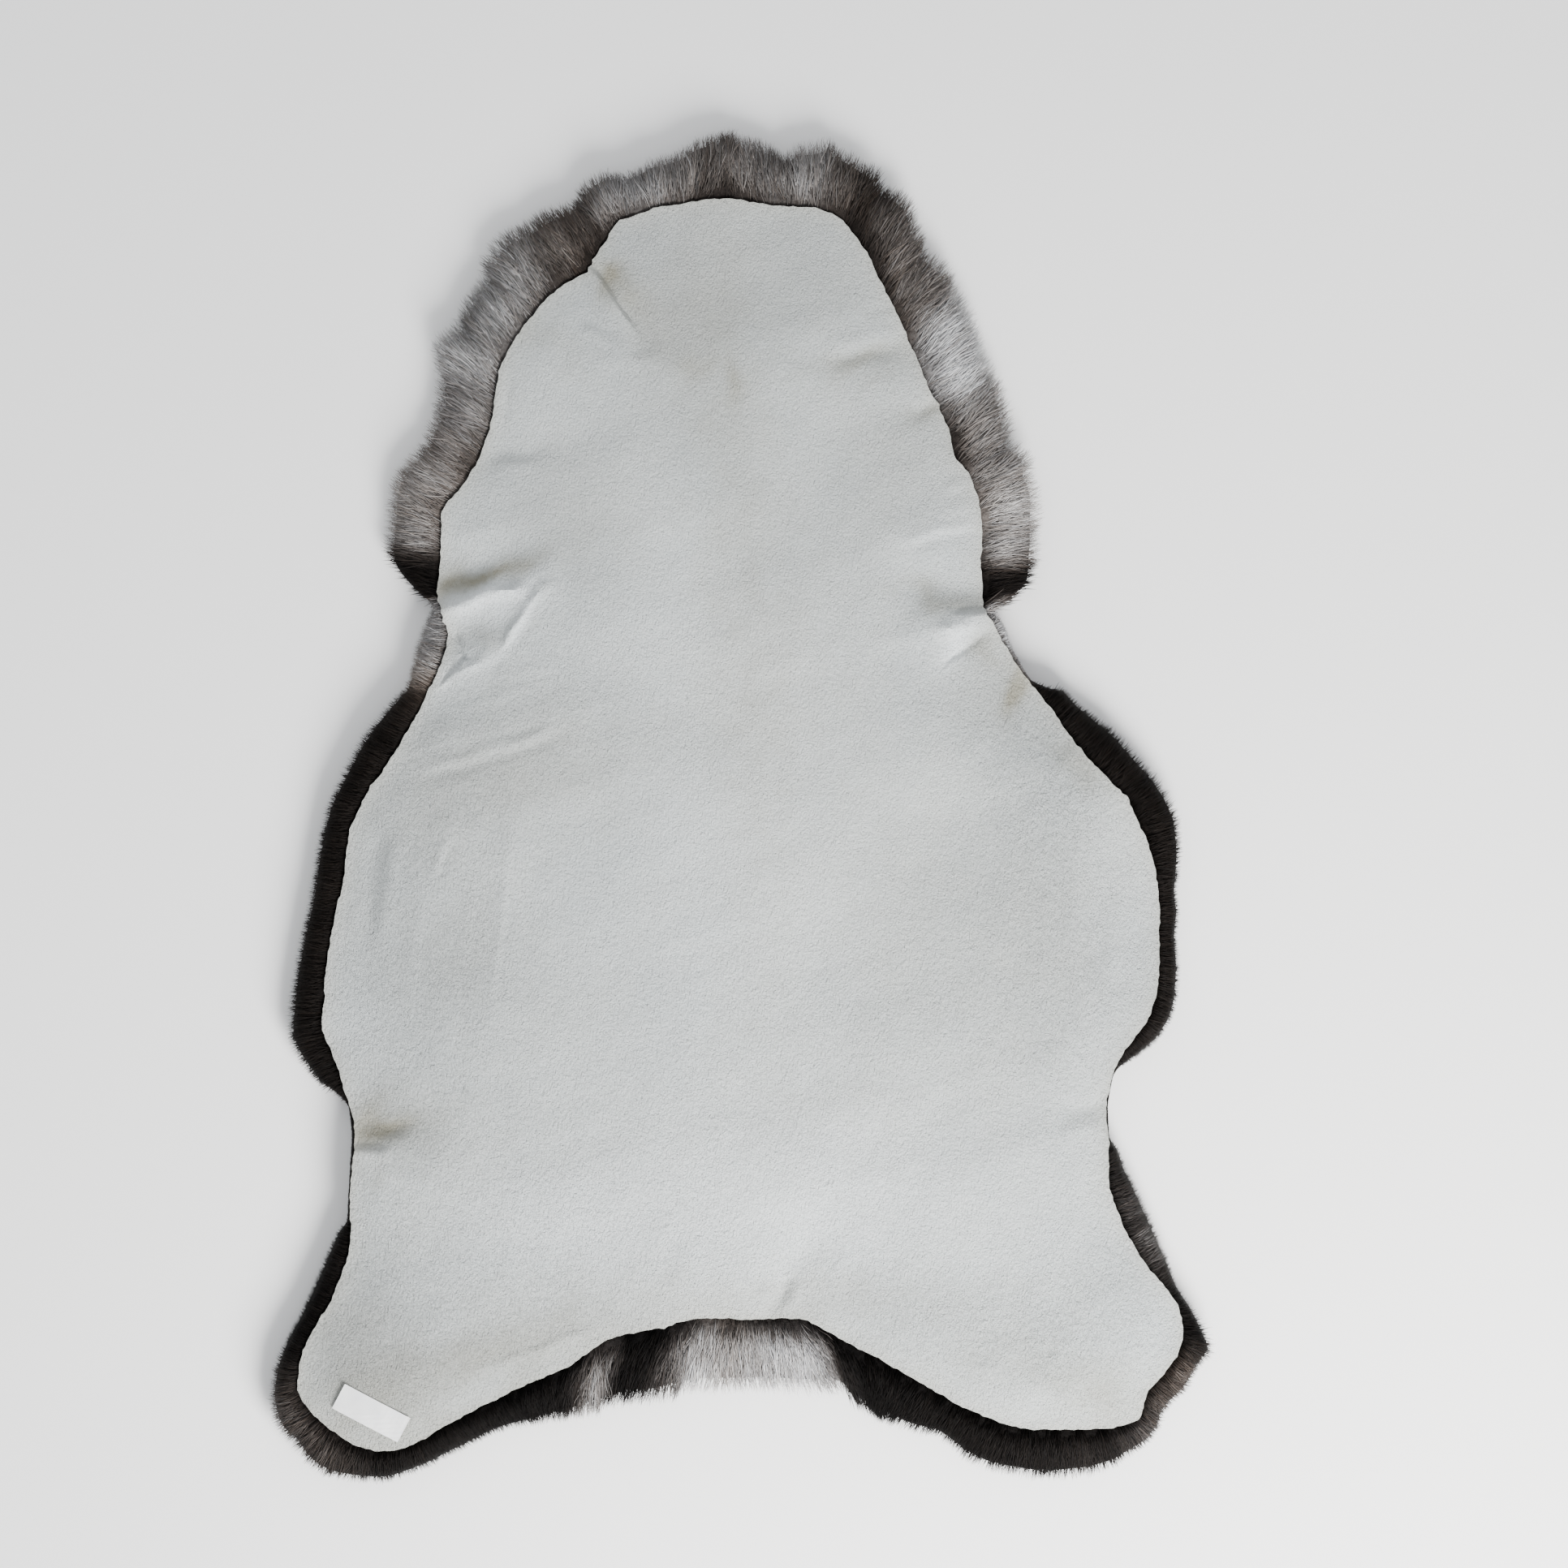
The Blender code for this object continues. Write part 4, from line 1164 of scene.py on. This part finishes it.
def build_spikes(name, bundles):
    """One piece of wool from bundles of spikes, each a tuple of paths, widths, tones and shares of brown."""
    points, faces, uvs = [], [], []
    so_far = 0
    for bundle in bundles:
        more_points, more_faces, more_uvs = spike_arrays(*bundle)
        points.append(more_points)
        faces.append(more_faces + so_far)
        uvs.append(more_uvs)
        so_far += len(more_points)
    points, faces, uvs = np.concatenate(points), np.concatenate(faces), np.concatenate(uvs)
    mesh = bpy.data.meshes.new(name)
    mesh.vertices.add(len(points))
    mesh.vertices.foreach_set("co", points.reshape(-1).astype(np.float32))
    mesh.loops.add(len(faces) * 3)
    mesh.loops.foreach_set("vertex_index", faces.reshape(-1).astype(np.int32))
    mesh.polygons.add(len(faces))
    mesh.polygons.foreach_set("loop_start", np.arange(0, len(faces) * 3, 3, dtype=np.int32))
    mesh.update(calc_edges=True)
    layer = mesh.uv_layers.new(name="OFBake")
    layer.data.foreach_set("uv", uvs[faces.reshape(-1)].reshape(-1).astype(np.float32))
    mesh.shade_smooth()
    mesh.materials.append(wool_fibre)
    piece = bpy.data.objects.new(name, mesh)
    bpy.context.scene.collection.objects.link(piece)
    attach(piece, "root")
    return piece


# %% [markdown]
# Three kinds of fibre are laid. Those on top make the band that shows from above, with a bend or two in each.
# Those at the side fill the rim down to the floor, and are simpler. Stray hairs are thin and reach a little
# past the rest, so the wool's outline is soft.

# %% Where the fibres go
LOCK_WIDTH = 4.5 * MM / RIM_STEP
LOCK_PULL = 0.15
UNDER_EDGE = 3.0 * MM
# Each kind: how many, least and most length, least and most width, and the steps along a fibre
FIBRE_KINDS = {
    "top": (30000, (15 * MM, 31 * MM), (0.45 * MM, 0.85 * MM), (0.0, 0.36, 0.70, 1.0)),
    "side": (17000, (12 * MM, 24 * MM), (0.60 * MM, 1.10 * MM), (0.0, 0.55, 1.0)),
    "stray": (8500, (9 * MM, 19 * MM), (0.18 * MM, 0.32 * MM), (0.0, 0.55, 1.0)),
}


def layers_and_limits(kind, count, wool):
    """Each fibre's layer, how far out it ends, and how far in it may start."""
    if kind == "side":
        layer = rng.uniform(0.03, 0.97, count)
        limit = wool * (0.97 - 0.22 * (1 - layer) ** 2) * (1 - np.abs(rng.normal(0, 0.05, count)))
        return layer, limit, wool * 0.25
    if kind == "top":
        layer = 1 - np.abs(rng.normal(0, 0.06, count))
        limit = wool * (1.04 - np.abs(rng.normal(0, 0.085, count)))
        return layer, limit, np.full(count, -UNDER_EDGE)
    layer = 1 - np.abs(rng.normal(0, 0.2, count))
    limit = wool * (0.98 + 0.10 * rng.uniform(0, 1, count) ** 1.5) + 0.9 * MM * rng.uniform(0, 1, count)
    return layer, limit, np.full(count, -UNDER_EDGE)


def lay_fibres(kind, count, low, high):
    """Fibres between two places of the rim: their paths, widths, tones and shares of brown."""
    _, lengths, widths, steps = FIBRE_KINDS[kind]
    places = np.arange(low, high)
    weight = full_reach[places % RIM_COUNT] + 4 * MM
    start = rng.choice(places, count, p=weight / weight.sum()) + rng.uniform(0, 1, count)
    wool = at(full_reach, start)
    layer, limit, nearest_in = layers_and_limits(kind, count, wool)
    length = np.minimum(rng.uniform(*lengths, count), limit - nearest_in)
    if kind == "stray":
        begin = limit - length
    else:
        begin = nearest_in + (limit - length - nearest_in) * rng.uniform(0, 1, count) ** 0.75

    pale = at(is_pale, start)
    lock = (np.floor(start / LOCK_WIDTH) + 0.5) * LOCK_WIDTH
    lock_noise = np.sin(lock * 12.9898) * 43758.5453
    lock_noise = (lock_noise - np.floor(lock_noise)) * 2 - 1
    wave_height = rng.uniform(0.3, 1.6, count) * MM * (0.4 + 0.6 * pale)
    wave_start = lock_noise * 3 + rng.normal(0, 0.8, count)
    slant = rng.normal(0, 0.14, count) + lock_noise * 0.05
    depth_wave = rng.normal(0, 0.5 * MM, count)

    paths = np.empty((count, len(steps), 3))
    tones = np.empty((count, len(steps)))
    fibre_tone = rng.normal(0, 0.048, count)
    accent = rng.uniform(0, 1, count)
    fibre_tone += np.where(accent < 0.05, 0.13, 0) - np.where(accent > 0.94, 0.13, 0)
    for step, t in enumerate(steps):
        out = begin + length * t
        share = np.clip(out / np.maximum(wool, 1e-4), 0, 1.15)
        place = start + (lock - start) * LOCK_PULL * pale * np.clip(share, 0, 1) ** 1.6
        spot = at(rim, place) + at(flow, place) * out[:, None]
        across = at(flow, place)[:, ::-1] * (1, -1)
        sway = wave_height * np.sin(wave_start + t * 4.4) + slant * length * t
        paths[:, step, :2] = spot + across * sway[:, None]
        paths[:, step, 2] = wool_height(place, np.maximum(out, 0), layer) + depth_wave * math.sin(math.pi * t)
        # From the root's tone to the tip's; the darker roots are partly painted shade under the leather's edge.
        blend = np.clip((share - 0.02) / 0.34, 0, 1) ** 0.75
        patch = slow_noise(np.column_stack([place * RIM_STEP, out]) / MM, 15, 31) * 0.07
        own = at(root_tone, place) * (1 - blend) + at(tip_tone, place) * blend
        vivid = np.clip(own / 0.35, 0.12, 1)
        tones[:, step] = own + (patch + fibre_tone + at(tuft_tone_and_gap_shade, place) + lock_noise * 0.022) * vivid
    paths[:, :, 2] = np.maximum(paths[:, :, 2], FLOOR_CLEARANCE)
    browns = np.clip(at(brownness, start) + rng.normal(0, 0.16, count), 0, 1)
    return paths, rng.uniform(*widths, count), tones, browns


# %% Grow them, section by section
# Each row: name of the section, and the place on the edge in mm where it starts, clockwise
SECTIONS = [
    ("wool_neck", -100, 454), ("wool_right_shoulder", 112, 398), ("wool_right_side", 190, 148),
    ("wool_right_leg", 284, -263), ("wool_tail", 128, -444), ("wool_left_leg", -235, -484),
    ("wool_left_side", -304, -253), ("wool_left_shoulder", -239, 163),
]
starts = nearest_rim([on_rug(x, y) for _, x, y in SECTIONS])
whole = (full_reach + 4 * MM).sum()
for number, (name, _, _) in enumerate(SECTIONS):
    low, high = starts[number], starts[(number + 1) % len(SECTIONS)]
    high += RIM_COUNT if high <= low else 0
    part = (full_reach[np.arange(low, high) % RIM_COUNT] + 4 * MM).sum() / whole
    bundles = [lay_fibres(kind, round(FIBRE_KINDS[kind][0] * part), low, high) for kind in FIBRE_KINDS]
    piece = build_spikes(name, bundles)
    print(name, len(piece.data.polygons), "triangles")

# %% [markdown]
# ## The underside
#
# Turned over, the rug is all wool. The same spikes are used there, but wide and flat: each is a pressed lock
# about 3 cm long. They follow a slow swirl over the body of the wool and overlap like tiles.

# %% Pressed locks
UNDER_LOCKS = 7700
UNDER_LENGTHS = (22 * MM, 36 * MM)
UNDER_WIDTHS = (2.4 * MM, 4.2 * MM)
UNDER_STEPS = (0.0, 0.5, 1.0)


def pressed_locks():
    low, high = rim.min(axis=0), rim.max(axis=0)
    spots = rng.uniform(low, high, (UNDER_LOCKS * 2, 2))
    spots = spots[inside_ring(spots, rim[::4])][:UNDER_LOCKS]
    count = len(spots)
    swirl = -math.pi / 2 + 0.9 * slow_noise(spots / MM, 60, 51) + rng.normal(0, 0.28, count)
    length = rng.uniform(*UNDER_LENGTHS, count)
    bend = rng.normal(0, 0.5, count)
    paths = np.empty((count, len(UNDER_STEPS), 3))
    lift = rng.uniform(0.8, 2.2, count) * MM
    for step, t in enumerate(UNDER_STEPS):
        turn = swirl + bend * (t - 0.5)
        paths[:, step, 0] = spots[:, 0] + np.cos(turn) * length * (t - 0.5)
        paths[:, step, 1] = spots[:, 1] + np.sin(turn) * length * (t - 0.5)
        paths[:, step, 2] = lift * (1.6 - t) + 0.4 * MM
    kept = inside_ring(paths[:, 0, :2], rim[::3]) & inside_ring(paths[:, -1, :2], rim[::3])
    paths, spots, count = paths[kept], spots[kept], int(kept.sum())
    nearest = nearest_rim(spots)
    base = tip_tone[nearest] * 0.75 + 0.06 + rng.normal(0, 0.05, count)
    tones = base[:, None] * np.array([0.85, 1.0, 1.1])
    browns = np.clip(brownness[nearest] + rng.normal(0, 0.15, count), 0, 1)
    return build_spikes("wool_underside", [(paths, rng.uniform(*UNDER_WIDTHS, count), tones, browns)])


under = pressed_locks()
print("underside:", len(under.data.polygons), "triangles")

# %% [markdown]
# ## The label
#
# A small white woven label lies on the left hind leg. It is a strip of satin with folded ends, and it stays
# blank. It starts as a grid of the label's size, is turned and moved to its place, drops on the leather with
# a slight curl at its ends, and gets its thickness from a modifier.

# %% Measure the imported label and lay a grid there
label_corners = np.array([vert.co for vert in frame["nodes"]["label"].data.vertices])[:, :2]
label_middle = (label_corners.min(axis=0) + label_corners.max(axis=0)) / 2
spread_of_label = np.cov((label_corners - label_middle).T)
values, directions = np.linalg.eigh(spread_of_label)
long_way = directions[:, 1] * np.sign(directions[0, 1])
short_way = np.array([-long_way[1], long_way[0]])
label_length = np.ptp(label_corners @ long_way)
label_width = np.ptp(label_corners @ short_way)
LABEL_THICKNESS = 0.5 * MM
LABEL_LIFT = 0.35 * MM
LABEL_CURL = 0.9 * MM
print("label in mm:", round(label_length / MM, 1), "by", round(label_width / MM, 1))

bpy.ops.object.select_all(action="DESELECT")
bpy.ops.mesh.primitive_grid_add(x_subdivisions=56, y_subdivisions=22, size=1)
label = bpy.context.object
label.name = "label_strip"
label.scale = (label_length, label_width, 1)
label.rotation_euler.z = math.atan2(long_way[1], long_way[0])
label.location = (*label_middle, 0)
bpy.ops.object.transform_apply(location=True, rotation=True, scale=True)
label.data.name = "label_strip"


def lay_label():
    """Each point rests a little over the highest leather near it, and the ends curl up."""
    spots = np.array([vert.co for vert in label.data.vertices])[:, :2]
    rest = []
    for spot in spots:
        near = leather_tree.find_range((*spot, 0), 6 * MM)
        rest.append(max(heights[index] for _, index, _ in near))
    along = (spots - label_middle) @ long_way / (label_length / 2)
    across = (spots - label_middle) @ short_way / (label_width / 2)
    curl = LABEL_CURL * (np.abs(along) ** 6 * (0.6 + 0.4 * across) + 0.25 * np.sin(along * 5 + across) ** 2)
    for vert, height, extra in zip(label.data.vertices, rest, curl):
        vert.co.z = height + LABEL_LIFT + extra


lay_label()
smoother = label.modifiers.new("settle", "SMOOTH")
smoother.iterations = 4
thicken = label.modifiers.new("thickness", "SOLIDIFY")
thicken.thickness = LABEL_THICKNESS
thicken.offset = 1
apply_modifiers(label)
label.data.shade_smooth()
label.data.set_sharp_from_angle(angle=math.radians(50))

# %% Satin
def satin_material():
    """White satin: threads along the strip that catch the light, and a closer woven border along each side."""
    made, tree, shader = start_material("white satin", 0.42)
    shader.inputs["Sheen Weight"].default_value = 0.3
    where = tree.nodes.new("ShaderNodeTexCoord").outputs["Object"]
    turn = tree.nodes.new("ShaderNodeMapping")
    turn.vector_type = "TEXTURE"
    turn.inputs["Location"].default_value = (*label_middle, 0)
    turn.inputs["Rotation"].default_value = (0, 0, math.atan2(long_way[1], long_way[0]))
    tree.links.new(where, turn.inputs["Vector"])
    lined_up = turn.outputs["Vector"]
    waves = []
    for direction, pace in (("X", 1 / (0.55 * MM)), ("Y", 1 / (0.35 * MM))):
        wave = node(tree, "ShaderNodeTexWave", Scale=pace / 20 * math.tau, Distortion=0.4)
        wave.bands_direction = direction
        tree.links.new(lined_up, wave.inputs["Vector"])
        waves.append(wave.outputs["Fac"])
    weave = calculate(tree, "MULTIPLY", *waves)
    cloud = noise(tree, lined_up, 120, 3)
    colour = mix_colour(tree, spread(tree, cloud, 0.3, 0.7), (0.80, 0.81, 0.83), (0.86, 0.86, 0.85))
    colour = mix_colour(tree, spread(tree, weave, 0, 1, 0.16, 0.0), colour, (0.55, 0.56, 0.58))
    tree.links.new(colour, shader.inputs["Base Color"])
    tree.links.new(bump(tree, weave, 0.5, 0.0001), shader.inputs["Normal"])
    return made


label.data.materials.append(satin_material())
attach(label, "root")
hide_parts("label")

# %% [markdown]
# ## The faces in all
#
# The leather and the label are sheets, cut flat before they were laid down. Last, the faces of all the pieces are
# counted.

total = sum(len(piece.data.polygons) for piece in bpy.data.objects if piece.type == "MESH" and piece.name != "floor")
print("faces in all, packed nodes too:", total)
